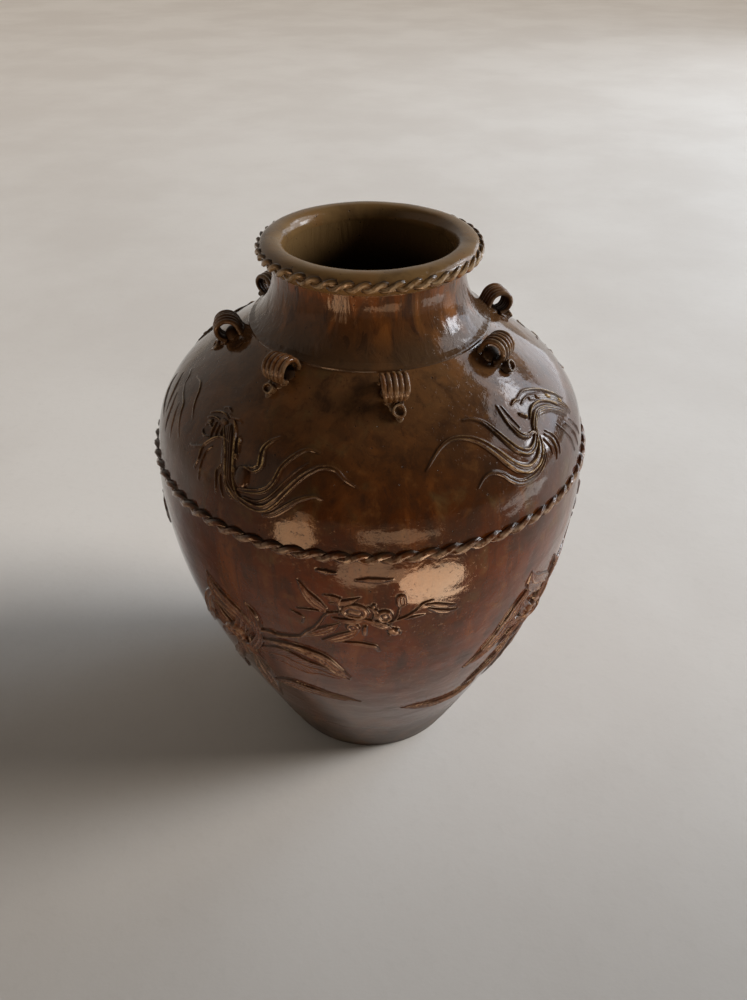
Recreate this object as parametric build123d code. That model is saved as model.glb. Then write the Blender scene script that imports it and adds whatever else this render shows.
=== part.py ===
"""Large brown glazed storage jar with eight ribbed shoulder lugs, rope bands and applied birds and sprays.

Millimetres, +Z up, origin at the centre of the flat foot on the floor. Azimuth 0 is -Y and grows towards +X.
The jar is the thrown sections, the rolled lip, two twisted ropes, the lugs with their pellets and the applied work,
each a separate piece of clay that touches its neighbours face to face.
"""

import os
from math import cos, hypot, pi, radians, sin

from build123d import *

# ---------------------------------------------------------------- driving dimensions
HEIGHT = 640.0  # floor to the top of the lip
WALL = 11.0  # thickness of the thrown wall
BASE_T = 14.0  # thickness of the bottom disc
Z_BELLY = 427.5  # the join of the two thrown walls, under the belly rope
Z_NECK = 556.8  # the join of shoulder and neck
Z_LIP = 617.0  # top of the neck, where the lip starts

# outside of the wall, (radius, height), from the foot to the top of the neck
OUTER = [
    (118.7, 0.0),
    (130.5, 25.6),
    (144.3, 57.6),
    (160.3, 96.0),
    (176.2, 134.4),
    (191.2, 172.8),
    (204.3, 211.2),
    (215.3, 249.6),
    (224.0, 288.0),
    (230.2, 326.4),
    (233.5, 358.4),
    (234.5, 384.0),
    (233.6, 409.6),
    (231.5, 427.5),
    (227.4, 448.0),
    (221.2, 467.2),
    (212.0, 483.2),
    (198.6, 499.2),
    (179.3, 515.2),
    (156.8, 531.2),
    (137.8, 544.0),
    (121.1, 556.8),
    (108.7, 569.6),
    (101.0, 582.4),
    (96.2, 598.4),
    (95.6, 617.0),
]

LIP_R_OUT = 108.5  # outermost radius of the rolled lip
MOUTH_R = 82.5  # the narrowest round of the mouth
MOUTH_LAND = 7.0  # height of that straight round

BELLY_ROPE_R = 232.0  # radius to the middle of the belly rope
BELLY_ROPE_T = 5.0  # its tube radius
RIM_ROPE_R = 107.6
RIM_ROPE_Z = 627.5
RIM_ROPE_T = 4.1
RIDGE_T = 2.4  # tube radius of the thin raised line at the foot of the neck

LUG_WIDTH = 24.8
LUG_R_IN = 9.2  # the cord eye
LUG_R_OUT = 14.0  # bottom of the grooves between the ribs
LUG_RIB = 0.9  # how far each rib's crown stands above that
LUG_LIFT = 8.8  # middle of the eye above the shoulder
LUG_RIBS = 5
PELLET_R = 6.4
PELLET_HOLE_R = 3.9
PELLET_DEPTH = 3.0

# (azimuth, height on the shoulder) of each lug, placed by hand and so a little uneven
LUGS = [
    (-22.2, 545.0),
    (22.2, 541.0),
    (69.9, 546.0),
    (118.8, 545.0),
    (160.5, 544.0),
    (202.0, 543.0),
    (243.0, 540.0),
    (294.8, 544.8),
]

FEATHER_H = 3.2  # how far the birds stand off the wall
SPRAY_H = 2.4  # how far the sprays stand off the wall

os.makedirs("parts", exist_ok=True)


# ---------------------------------------------------------------- half section of the vessel
def offset_profile(points, distance):
    """Points moved along the normal of the line through them, to the right of its direction for a positive distance."""
    moved = []
    for i, (r, z) in enumerate(points):
        r0, z0 = points[max(i - 1, 0)]
        r1, z1 = points[min(i + 1, len(points) - 1)]
        dr, dz = r1 - r0, z1 - z0
        n = hypot(dr, dz)
        moved.append((r + distance * dz / n, z - distance * dr / n))
    return moved


def rz(points):
    """Points of the half section, radius along X and height along Z."""
    return [(r, 0.0, z) for r, z in points]


def outer_radius(z):
    """Radius of the outside of the wall at a height, on straight chords between the listed points."""
    for (r0, z0), (r1, z1) in zip(OUTER, OUTER[1:]):
        if z0 <= z <= z1:
            return r0 + (r1 - r0) * (z - z0) / (z1 - z0)
    return OUTER[-1][0]


def outer_slope(z):
    """dr/dz of the outside of the wall."""
    return (outer_radius(z + 3.0) - outer_radius(z - 3.0)) / 6.0


outer_line = Spline(*rz(OUTER))
inner_pts = [p for p in offset_profile(OUTER, -WALL) if p[1] > BASE_T + 6.0]
inner_pts = [(inner_pts[0][0] - 8.0, BASE_T)] + inner_pts[:-1] + [(OUTER[-1][0] - WALL, Z_LIP)]
inner_line = Spline(*rz(inner_pts))


def face_of(*edges):
    return make_face(Wire(list(edges)))


def band(z_low, z_high, r_max=400.0):
    """Flat rectangle of the half section between two heights."""
    return make_face(
        Polyline((0, 0, z_low), (r_max, 0, z_low), (r_max, 0, z_high), (0, 0, z_high), close=True)
    )


# everything inside the outside surface, up to the lip
core_face = face_of(
    outer_line,
    Line((0, 0, 0), (OUTER[0][0], 0, 0)),
    Line((OUTER[-1][0], 0, Z_LIP), (0, 0, Z_LIP)),
    Line((0, 0, Z_LIP), (0, 0, 0)),
)
wall_face = face_of(
    outer_line,
    Line((0, 0, 0), (OUTER[0][0], 0, 0)),
    Line((0, 0, 0), (0, 0, BASE_T)),
    Line((0, 0, BASE_T), (inner_pts[0][0], 0, BASE_T)),
    inner_line,
    Line((inner_pts[-1][0], 0, Z_LIP), (OUTER[-1][0], 0, Z_LIP)),
)

core = revolve(core_face, Axis.Z, 360)

# ---------------------------------------------------------------- thrown sections
base_disc = revolve(wall_face & band(-1.0, BASE_T), Axis.Z, 360)
lower_wall = revolve(wall_face & band(BASE_T, Z_BELLY), Axis.Z, 360)
upper_wall = revolve(wall_face & band(Z_BELLY, Z_NECK), Axis.Z, 360)
neck_collar = revolve(wall_face & band(Z_NECK, Z_LIP), Axis.Z, 360)

# thick rolled lip: flat seat on the neck, rounded top, straight round at the narrowest of the mouth
z_land = HEIGHT - 7.0
lip_face = face_of(
    Line((inner_pts[-1][0], 0, Z_LIP), (OUTER[-1][0], 0, Z_LIP)),
    Spline(
        (OUTER[-1][0], 0, Z_LIP),
        (OUTER[-1][0] + 5.5, 0, Z_LIP + 1.4),
        (LIP_R_OUT - 2.2, 0, Z_LIP + 5.2),
        (LIP_R_OUT, 0, HEIGHT - 12.0),
        (LIP_R_OUT - 2.6, 0, HEIGHT - 5.4),
        (LIP_R_OUT - 9.5, 0, HEIGHT - 1.2),
        (LIP_R_OUT - 15.5, 0, HEIGHT),
        tangents=[(1, 0, 0.05), (-1, 0, 0)],
    ),
    Spline(
        (LIP_R_OUT - 15.5, 0, HEIGHT),
        (MOUTH_R + 2.6, 0, HEIGHT - 2.0),
        (MOUTH_R, 0, z_land),
        tangents=[(-1, 0, 0), (0, 0, -1)],
    ),
    Line((MOUTH_R, 0, z_land), (MOUTH_R, 0, z_land - MOUTH_LAND)),
    Line((MOUTH_R, 0, z_land - MOUTH_LAND), (inner_pts[-1][0], 0, Z_LIP)),
)
lip_roll = revolve(lip_face, Axis.Z, 360)

# ---------------------------------------------------------------- rope bands and neck ridge
outside_of_core = band(200.0, Z_LIP + 40.0) - core_face


def ring_face(r, z, tube):
    return Plane(origin=(r, 0, z), x_dir=(1, 0, 0), z_dir=(0, -1, 0)) * Circle(tube)


belly_rope = revolve(ring_face(BELLY_ROPE_R, Z_BELLY, BELLY_ROPE_T) - core_face, Axis.Z, 360)
rim_rope = revolve(ring_face(RIM_ROPE_R, RIM_ROPE_Z, RIM_ROPE_T) - lip_face, Axis.Z, 360)
ridge_r = outer_radius(Z_NECK)
neck_ridge = revolve(ring_face(ridge_r, Z_NECK, RIDGE_T) - core_face, Axis.Z, 360)


def keep_outer(shape, r_min):
    """The outermost solid of a ring that the wall cuts in two."""
    solids = sorted(shape.solids(), key=lambda s: s.bounding_box().max.X)
    return solids[-1]


rim_rope = keep_outer(rim_rope, LIP_R_OUT)


# ---------------------------------------------------------------- lugs
def surface_frame(azimuth, z):
    """Point of the wall, tangent along the circle and normal off the wall, as vectors."""
    a = radians(azimuth)
    out = Vector(sin(a), -cos(a), 0)
    tangent = Vector(cos(a), sin(a), 0)
    slope = outer_slope(z)
    n = hypot(1.0, slope)
    normal = out * (1.0 / n) + Vector(0, 0, 1) * (-slope / n)
    point = out * outer_radius(z) + Vector(0, 0, z)
    return point, tangent, normal


def ribbed_ring():
    """A ring about the local X axis, wide as a lug, with ribs that run round it."""
    half = LUG_WIDTH / 2
    pitch = LUG_WIDTH / LUG_RIBS
    edges = [
        Line((half, 0, LUG_R_IN), (-half, 0, LUG_R_IN)),
        Line((-half, 0, LUG_R_IN), (-half, 0, LUG_R_OUT)),
        Line((half, 0, LUG_R_OUT), (half, 0, LUG_R_IN)),
    ]
    for i in range(LUG_RIBS):
        x0 = -half + i * pitch
        edges.append(
            ThreePointArc(
                (x0, 0, LUG_R_OUT), (x0 + pitch / 2, 0, LUG_R_OUT + LUG_RIB), (x0 + pitch, 0, LUG_R_OUT)
            )
        )
    return revolve(make_face(Wire(edges)), Axis.X, 360)


ring = ribbed_ring()
# plan of the strap: full width over the top, narrower where it runs down to the pellet
taper = extrude(
    make_face(
        Polyline(
            (-13, 18), (13, 18), (13, -4), (8.8, -16), (-8.8, -16), (-13, -4), close=True
        )
    ),
    amount=40,
    both=True,
)
strap = ring & taper

lugs, pellets = [], []
for azimuth, z in LUGS:
    point, tangent, normal = surface_frame(azimuth, z)
    here = Plane(origin=tuple(point + normal * LUG_LIFT), x_dir=tuple(tangent), z_dir=tuple(normal))
    lug = here * strap - core
    lug = sorted(lug.solids(), key=lambda s: s.volume)[-1]
    lugs.append(lug)
    # short pellet below the strap, leaning outwards, with a round dimple pressed in its end
    out = Vector(point.X, point.Y, 0).normalized()
    lean = (normal * 0.62 + out * 0.38).normalized()
    downhill = normal.cross(tangent) * -1.0
    foot = point + downhill * 17.0 + normal * -5.0
    seat = Plane(origin=tuple(foot), x_dir=tuple(tangent), z_dir=tuple(lean))
    length = 13.0
    pellet = seat * (
        Pos(0, 0, length / 2) * Cylinder(PELLET_R, length)
        - Pos(0, 0, length - PELLET_DEPTH / 2) * Cylinder(PELLET_HOLE_R, PELLET_DEPTH)
    )
    pellet = pellet - core - lug
    pellet = sorted(pellet.solids(), key=lambda s: s.volume)[-1]
    pellets.append(pellet)


# ---------------------------------------------------------------- applied work
def shell(height, z_low, z_high, azimuth, half_span):
    """Skin of a given height on the outside of the wall, a wedge of the full round."""
    pts = [p for p in OUTER if z_low - 40 <= p[1] <= z_high + 40]
    out = offset_profile(OUTER, height)
    out = [q for p, q in zip(OUTER, out) if z_low - 40 <= p[1] <= z_high + 40]
    skin = face_of(
        Spline(*rz(out)),
        Line((pts[0][0] - 30, 0, pts[0][1]), (out[0][0], 0, out[0][1])),
        Line((pts[-1][0] - 30, 0, pts[-1][1]), (out[-1][0], 0, out[-1][1])),
        Line((pts[0][0] - 30, 0, pts[0][1]), (pts[-1][0] - 30, 0, pts[-1][1])),
    )
    skin = skin - core_face
    start = azimuth - half_span - 90.0
    return revolve(skin, Axis.Z, 2 * half_span).rotate(Axis.Z, start)


def flat(azimuth, z, centre):
    """A point of the wall seen square on from one azimuth: sideways distance and height."""
    return (outer_radius(z) * sin(radians(azimuth - centre)), z)


def ribbon(points, widths, centre):
    """Closed outline of a strip that follows points (azimuth, height), with its half width at each."""
    line = [flat(a, z, centre) for a, z in points]
    left, right = [], []
    for i, (u, z) in enumerate(line):
        u0, z0 = line[max(i - 1, 0)]
        u1, z1 = line[min(i + 1, len(line) - 1)]
        du, dz = u1 - u0, z1 - z0
        n = hypot(du, dz)
        w = widths[i]
        left.append((u - w * dz / n, z + w * du / n))
        right.append((u + w * dz / n, z - w * du / n))
    return make_face(
        Wire([Spline(*left), Line(left[-1], right[-1]), Spline(*right[::-1]), Line(right[0], left[0])])
    )


def blob(points, centre):
    """Closed smooth outline through points (azimuth, height)."""
    line = [flat(a, z, centre) for a, z in points]
    return make_face(Wire([Spline(*line, periodic=True)]))


def disc(azimuth, z, radius, centre):
    u, v = flat(azimuth, z, centre)
    return Pos(u, v) * Circle(radius)


def taper_widths(n, root, tip, belly=1.0):
    """Half widths of a feather or leaf from root to tip, fullest near a third of its length."""
    out = []
    for i in range(n):
        t = i / (n - 1)
        out.append(root * (1 - t) ** 0.8 + tip * t + belly * sin(pi * min(1.0, t * 1.2)) * (1 - t))
    return out


def applied(faces, centre, height, z_low, z_high, half_span):
    """Clay applied on the wall: outlines seen from one azimuth, as thick as height."""
    skin = shell(height, z_low, z_high, centre, half_span)
    a = radians(centre)
    look = Plane(origin=(0, 0, 0), x_dir=(cos(a), sin(a), 0), z_dir=(sin(a), -cos(a), 0))
    flat_face = faces[0]
    for f in faces[1:]:
        flat_face = flat_face + f
    solid = None
    for f in flat_face.faces():
        block = extrude(look * f, amount=300.0, dir=(sin(a), -cos(a), 0))
        got = block & skin
        for s in got.solids():
            if s.volume > 5.0:
                solid = s if solid is None else solid + s
    return solid


# the birds: each pair stands tail to tail about the azimuths 22.5 and 202.5
LEFT_TAIL = [
    ([(-18.6, 484.5), (-16.2, 488.8), (-14.8, 495.7), (-14.3, 503.9), (-13.9, 509.8), (-12.7, 512.8)], 2.6),
    (
        [(-19.0, 472.4), (-16.4, 471.2), (-12.4, 475.2), (-10.2, 484.0), (-8.3, 496.0), (-6.2, 504.9), (-3.3, 508.8), (-0.1, 508.5)],
        3.4,
    ),
    (
        [(-19.6, 465.6), (-16.5, 461.2), (-11.9, 462.3), (-8.5, 469.6), (-5.8, 482.2), (-3.0, 492.0), (0.0, 498.1), (2.5, 499.9), (5.1, 498.5), (7.8, 493.6), (10.7, 489.6)],
        4.4,
    ),
    ([(-12.9, 453.4), (-9.5, 457.0), (-7.2, 465.1), (-4.6, 473.9), (-1.9, 478.8), (1.0, 479.5), (3.0, 477.8)], 2.8),
]
LEFT_BODY = [
    (-18.2, 474.0),
    (-19.6, 486.0),
    (-22.4, 497.0),
    (-27.0, 505.5),
    (-32.5, 506.5),
    (-35.6, 500.0),
    (-33.4, 494.5),
    (-30.0, 494.0),
    (-27.9, 487.0),
    (-27.2, 474.0),
    (-24.8, 460.0),
    (-19.8, 453.0),
    (-16.8, 460.0),
]
LEFT_LINES = [
    ([(-31.5, 502.5), (-30.3, 508.5), (-28.2, 513.0)], [2.2, 2.0, 1.2]),
    ([(-28.5, 501.0), (-26.2, 507.5), (-23.4, 511.5)], [2.2, 2.0, 1.2]),
    ([(-32.6, 496.5), (-34.4, 488.0), (-34.6, 478.0), (-33.6, 459.5)], [2.0, 1.7, 1.6, 1.3]),
    ([(-34.4, 488.6), (-37.6, 485.6), (-40.2, 482.4)], [1.7, 1.5, 1.2]),
]
RIGHT_TAIL = [
    (
        [(62.5, 478.4), (60.0, 474.0), (56.9, 475.0), (53.7, 480.7), (51.5, 487.5), (49.6, 494.6), (47.5, 501.9), (44.7, 507.3), (41.3, 509.9), (37.0, 510.8), (33.4, 508.3), (30.0, 502.3), (28.0, 495.8)],
        4.6,
    ),
    (
        [(62.3, 489.0), (59.5, 486.0), (56.3, 488.7), (53.9, 496.1), (52.3, 503.0), (50.8, 509.4), (49.1, 514.9), (46.6, 518.0), (43.9, 519.4)],
        3.8,
    ),
    ([(64.4, 498.6), (61.6, 496.2), (59.4, 498.4), (58.2, 503.0), (57.6, 508.3), (58.0, 513.4), (57.0, 518.6)], 2.8),
    (
        [(63.4, 468.8), (60.2, 463.4), (55.8, 463.2), (52.7, 466.6), (50.3, 475.2), (48.0, 481.1), (45.4, 483.8), (42.9, 482.6), (40.7, 477.3)],
        3.0,
    ),
]
RIGHT_BODY = [
    (61.6, 474.0),
    (62.4, 488.0),
    (65.4, 499.5),
    (70.6, 507.5),
    (77.5, 507.5),
    (80.8, 500.5),
    (78.6, 494.5),
    (75.2, 494.0),
    (72.6, 487.5),
    (71.6, 474.0),
    (69.2, 460.0),
    (64.2, 452.5),
    (60.2, 460.0),
]
RIGHT_LINES = [
    ([(76.5, 503.5), (75.2, 509.5), (73.1, 514.5)], [2.2, 2.0, 1.2]),
    ([(73.5, 502.5), (71.2, 508.5), (68.4, 513.0)], [2.2, 2.0, 1.2]),
    ([(77.8, 496.0), (79.8, 488.0), (80.2, 478.0), (79.2, 459.5)], [2.0, 1.7, 1.6, 1.3]),
    ([(79.9, 488.6), (83.0, 485.6), (85.6, 482.4)], [1.7, 1.5, 1.2]),
]


def tail_faces(tail, centre):
    return [ribbon(pts, taper_widths(len(pts), root, 0.9), centre) for pts, root in tail]


def bird(tail, body, lines, tail_centre, body_centre):
    tail_solid = applied(tail_faces(tail, tail_centre), tail_centre, FEATHER_H, 445, 525, 34)
    body_faces = [blob(body, body_centre)] + [ribbon(p, w, body_centre) for p, w in lines]
    body_solid = applied(body_faces, body_centre, FEATHER_H, 445, 525, 26)
    return body_solid, tail_solid - body_solid


def turned(shape, angle):
    return shape.rotate(Axis.Z, angle)


def kept(shape):
    """Only the solids of a shape, as one compound."""
    solids = [s for s in shape.solids() if s.volume > 2.0]
    return solids[0] if len(solids) == 1 else Compound(solids)


bird_left, tail_left = bird(LEFT_TAIL, LEFT_BODY, LEFT_LINES, -5.0, -27.0)
bird_right, tail_right = bird(RIGHT_TAIL, RIGHT_BODY, RIGHT_LINES, 48.0, 71.0)

# wisps between the heads of the birds, at both sides of the jar
WISPS = [
    ([(-54.0, 514.7), (-50.5, 511.5), (-48.4, 506.3), (-46.0, 501.8), (-44.6, 493.0)], [1.4, 2.0, 2.2, 2.0, 1.2]),
    ([(-61.0, 507.0), (-57.5, 502.5), (-54.0, 493.0), (-50.6, 483.2), (-47.8, 471.9)], [1.4, 2.1, 2.4, 2.1, 1.2]),
    ([(-70.2, 500.0), (-66.0, 491.6), (-61.3, 480.5), (-56.5, 470.0), (-51.0, 462.0)], [1.4, 2.2, 2.6, 2.2, 1.2]),
    ([(-66.0, 478.5), (-60.5, 467.5), (-55.5, 458.5)], [1.4, 2.2, 1.4]),
]
cloud = applied([ribbon(p, w, -58.0) for p, w in WISPS], -58.0, SPRAY_H, 450, 520, 24)

# ---------------------------------------------------------------- sprays of the lower body, four round the jar
SPRAY_CENTRE = -8.0
FLOWER = [(-20.8, 305.1), 26.0]
LEAVES = [
    ([(-17.0, 290.0), (-12.5, 293.8), (-7.5, 293.4), (-2.0, 285.5), (3.4, 270.0), (8.2, 238.4)], [5.0, 9.5, 11.5, 10.5, 7.0, 1.2]),
    ([(-20.0, 278.0), (-16.6, 262.0), (-12.9, 250.4), (-7.0, 237.9)], [6.0, 8.5, 7.0, 1.4]),
    ([(-24.4, 214.0), (-18.0, 211.0), (-12.0, 208.6), (-4.5, 204.1), (1.8, 197.0), (9.1, 191.9)], [2.0, 5.5, 7.0, 6.0, 4.0, 1.2]),
    ([(-22.5, 276.0), (-23.6, 255.0), (-24.2, 234.0), (-24.6, 212.0)], [5.0, 7.5, 6.0, 1.6]),
    ([(-22.5, 330.0), (-26.0, 345.0), (-31.2, 352.5), (-37.5, 357.0)], [5.5, 8.0, 6.5, 1.4]),
    ([(-26.5, 300.0), (-32.5, 290.0), (-37.5, 272.0), (-41.0, 247.0)], [5.5, 8.5, 6.5, 1.4]),
]
BRANCH = [
    ([(-15.4, 303.3), (-9.7, 310.5), (-4.8, 315.8), (-1.2, 324.1), (2.2, 343.4), (5.5, 358.6)], [3.0, 3.2, 3.2, 3.0, 2.6, 2.2]),
    ([(1.7, 317.6), (6.2, 316.6), (10.2, 324.4), (13.4, 318.7), (15.6, 304.8)], [2.4, 4.6, 5.4, 4.0, 1.4]),
    ([(-3.1, 395.4), (-2.0, 386.0), (-0.2, 376.1)], [1.6, 5.0, 1.6]),
    ([(-1.5, 371.3), (1.0, 378.7), (3.6, 379.7), (6.4, 377.2)], [1.6, 4.0, 3.6, 1.4]),
    ([(14.5, 345.0), (21.1, 352.1), (23.9, 361.9), (26.1, 370.6), (29.2, 368.4), (34.0, 358.6)], [2.0, 2.4, 2.2, 3.2, 4.4, 1.2]),
]
ROSETTES = [(9.3, 366.5, 11.0), (17.1, 358.3, 8.5), (9.8, 340.4, 9.0), (19.2, 331.9, 6.5), (20.2, 381.6, 7.0)]

flower = applied([disc(FLOWER[0][0], FLOWER[0][1], FLOWER[1], FLOWER[0][0])], FLOWER[0][0], 4.6, 270, 345, 14)
leaf_solid = applied([ribbon(p, w, -16.0) for p, w in LEAVES], -16.0, SPRAY_H, 185, 365, 32) - flower
branch_solid = (
    applied(
        [ribbon(p, w, 9.0) for p, w in BRANCH] + [disc(a, z, r, 9.0) for a, z, r in ROSETTES],
        9.0,
        1.9,
        295,
        400,
        32,
    )
    - flower
    - leaf_solid
)

# ---------------------------------------------------------------- one file for each piece
parts = {
    "base_disc": base_disc,
    "lower_wall": lower_wall,
    "upper_wall": upper_wall,
    "neck_collar": neck_collar,
    "lip_roll": lip_roll,
    "neck_ridge": neck_ridge,
    "rim_rope": rim_rope,
    "belly_rope": belly_rope,
}
for i, (lug, pellet) in enumerate(zip(lugs, pellets), 1):
    parts[f"lug_{i}"] = lug
    parts[f"pellet_{i}"] = pellet
for i, (body_s, tail_s, angle) in enumerate(
    [(bird_left, tail_left, 0), (bird_right, tail_right, 0), (bird_left, tail_left, 180), (bird_right, tail_right, 180)], 1
):
    parts[f"bird_{i}"] = turned(kept(body_s), angle)
    parts[f"tail_{i}"] = turned(kept(tail_s), angle)
for i in range(2):
    parts[f"cloud_{i + 1}"] = turned(kept(cloud), 180.0 * i)
for i in range(4):
    parts[f"flower_{i + 1}"] = turned(kept(flower), 90.0 * i)
    parts[f"leaves_{i + 1}"] = turned(kept(leaf_solid), 90.0 * i)
    parts[f"branch_{i + 1}"] = turned(kept(branch_solid), 90.0 * i)

for name, shape in parts.items():
    export_step(shape, f"parts/{name}.step")
    print(name, len(shape.solids()), round(sum(s.volume for s in shape.solids())))
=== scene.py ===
"""Brown glazed storage jar with ribbed lugs, twisted rope bands, applied birds and sprays: its looks.

Metres, +Z up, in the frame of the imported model. Lengths inside the modelling functions are millimetres and are
turned into metres when a mesh is written. Azimuth 0 is -Y and grows towards +X.
"""
import math

import bmesh
import bpy
import numpy as np
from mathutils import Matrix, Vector


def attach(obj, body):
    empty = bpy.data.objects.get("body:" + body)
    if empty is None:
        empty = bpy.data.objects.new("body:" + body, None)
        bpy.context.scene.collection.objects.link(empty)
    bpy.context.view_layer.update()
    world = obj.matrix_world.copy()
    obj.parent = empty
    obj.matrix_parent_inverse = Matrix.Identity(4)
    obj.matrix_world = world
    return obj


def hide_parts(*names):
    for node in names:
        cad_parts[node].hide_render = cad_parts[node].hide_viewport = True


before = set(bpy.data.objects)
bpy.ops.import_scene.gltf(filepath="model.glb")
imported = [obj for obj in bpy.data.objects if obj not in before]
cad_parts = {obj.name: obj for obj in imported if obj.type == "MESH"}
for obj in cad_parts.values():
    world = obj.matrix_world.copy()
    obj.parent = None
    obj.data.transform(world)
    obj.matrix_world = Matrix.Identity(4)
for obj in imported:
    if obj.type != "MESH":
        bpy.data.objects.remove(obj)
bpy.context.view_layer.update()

scene = bpy.context.scene

# ------------------------------------------------------------------------------------------------ camera
TURN = math.radians(13.5)  # the view is from this far round towards +X
CAM_OUT, CAM_SIDE, CAM_UP = 0.7808, 0.0039, 0.9132
cam_data = bpy.data.cameras.new("camera")
cam_data.lens = 29.47
cam_data.sensor_width = 36.0
cam_data.sensor_fit = "AUTO"
cam_data.clip_start = 0.02
cam_data.clip_end = 60.0
cam = bpy.data.objects.new("camera", cam_data)
scene.collection.objects.link(cam)
cam.location = (
    CAM_SIDE * math.cos(TURN) + CAM_OUT * math.sin(TURN),
    CAM_SIDE * math.sin(TURN) - CAM_OUT * math.cos(TURN),
    CAM_UP,
)
cam.rotation_euler = (math.radians(90.0 - 37.37), 0.0, TURN)
scene.camera = cam

# ------------------------------------------------------------------------------------------------ outline of the jar
OUTER = [
    (118.7, 0.0), (130.5, 25.6), (144.3, 57.6), (160.3, 96.0), (176.2, 134.4), (191.2, 172.8), (204.3, 211.2),
    (215.3, 249.6), (224.0, 288.0), (230.2, 326.4), (233.5, 358.4), (234.5, 384.0), (233.6, 409.6), (231.5, 427.5),
    (227.4, 448.0), (221.2, 467.2), (212.0, 483.2), (198.6, 499.2), (179.3, 515.2), (156.8, 531.2), (137.8, 544.0),
    (121.1, 556.8), (108.7, 569.6), (101.0, 582.4), (96.2, 598.4), (95.6, 617.0),
]
WALL = 11.0
BASE_T = 14.0
Z_BELLY = 427.5
Z_NECK = 556.8
Z_LIP = 617.0
HEIGHT = 640.0


def natural_spline(x, y):
    """Second derivatives of the natural cubic spline through the points."""
    n = len(x)
    h = np.diff(x)
    a = np.zeros((n, n))
    b = np.zeros(n)
    a[0, 0] = a[-1, -1] = 1.0
    for i in range(1, n - 1):
        a[i, i - 1] = h[i - 1]
        a[i, i] = 2 * (h[i - 1] + h[i])
        a[i, i + 1] = h[i]
        b[i] = 6 * ((y[i + 1] - y[i]) / h[i] - (y[i] - y[i - 1]) / h[i - 1])
    return np.linalg.solve(a, b)


def spline_eval(x, y, m, q):
    k = np.clip(np.searchsorted(x, q) - 1, 0, len(x) - 2)
    h = x[k + 1] - x[k]
    a = (x[k + 1] - q) / h
    b = (q - x[k]) / h
    return a * y[k] + b * y[k + 1] + ((a**3 - a) * m[k] + (b**3 - b) * m[k + 1]) * h * h / 6


_pr = np.array([p[0] for p in OUTER])
_pz = np.array([p[1] for p in OUTER])
ZT = np.linspace(0.0, Z_LIP, 4937)
RT = spline_eval(_pz, _pr, natural_spline(_pz, _pr), ZT)
ST = np.gradient(RT, ZT)
ARC = np.concatenate([[0.0], np.cumsum(np.hypot(np.diff(RT), np.diff(ZT)))])


def radius(z):
    return np.interp(z, ZT, RT)


def slope(z):
    return np.interp(z, ZT, ST)


def arc(z):
    return np.interp(z, ZT, ARC)


def arc_to_z(s):
    return np.interp(s, ARC, ZT)


# ------------------------------------------------------------------------------------------------ smooth noise
def lattice(seed, nu, nv):
    """Smooth noise round the jar: nu knots round it, nv knots over the parameter 0..1."""
    g = np.random.default_rng(seed).uniform(-1.0, 1.0, (nu, nv + 4))

    def weights(t):
        t2, t3 = t * t, t * t * t
        return ((1 - t) ** 3 / 6, (3 * t3 - 6 * t2 + 4) / 6, (-3 * t3 + 3 * t2 + 3 * t + 1) / 6, t3 / 6)

    def f(az, v):
        az, v = np.broadcast_arrays(np.asarray(az, float), np.asarray(v, float))
        u = az / (2 * np.pi) * nu
        w = np.clip(v, 0, 1) * (nv - 1) + 1.0
        iu, iv = np.floor(u).astype(int), np.floor(w).astype(int)
        wu, wv = weights(u - iu), weights(w - iv)
        out = np.zeros(u.shape)
        for a in range(4):
            for b in range(4):
                out += wu[a] * wv[b] * g[(iu + a - 1) % nu, np.clip(iv + b - 1, 0, nv + 3)]
        return out * 1.6

    return f


n_big = lattice(3, 5, 6)
n_mid = lattice(4, 18, 15)
n_small = lattice(5, 46, 36)
n_ring = lattice(6, 9, 70)
n_ring_b = lattice(7, 7, 150)


def unevenness(az, z):
    """How far the hand-thrown surface stands off the true round, in mm."""
    v = np.asarray(z) / HEIGHT
    low = np.clip(np.asarray(z) / 60.0, 0.0, 1.0)
    d = 0.75 * n_big(az, v) + 0.30 * n_mid(az, v) + 0.085 * n_small(az, v)
    d = d + 0.10 * n_ring(az, v) + 0.035 * n_ring_b(az, v)
    # the plain round near the belly rope stays inside the rope
    lid = np.clip((236.2 - radius(np.clip(z, 0, Z_LIP))) / 3.0, 0.0, 1.0)
    return d * (0.25 + 0.75 * low) * (0.45 + 0.55 * lid)


def on_surface(az, z, lift=0.0):
    """Points of the wall, and its normals, at azimuth (radians) and height (mm)."""
    r, s = radius(z), slope(z)
    n = np.hypot(1.0, s)
    nr, nz = 1.0 / n, -s / n
    d = unevenness(az, z) + lift
    rr = r + d * nr
    p = np.stack([rr * np.sin(az), -rr * np.cos(az), z + d * nz], -1)
    nn = np.stack([nr * np.sin(az), -nr * np.cos(az), nz + 0 * az], -1)
    return p, nn


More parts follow.
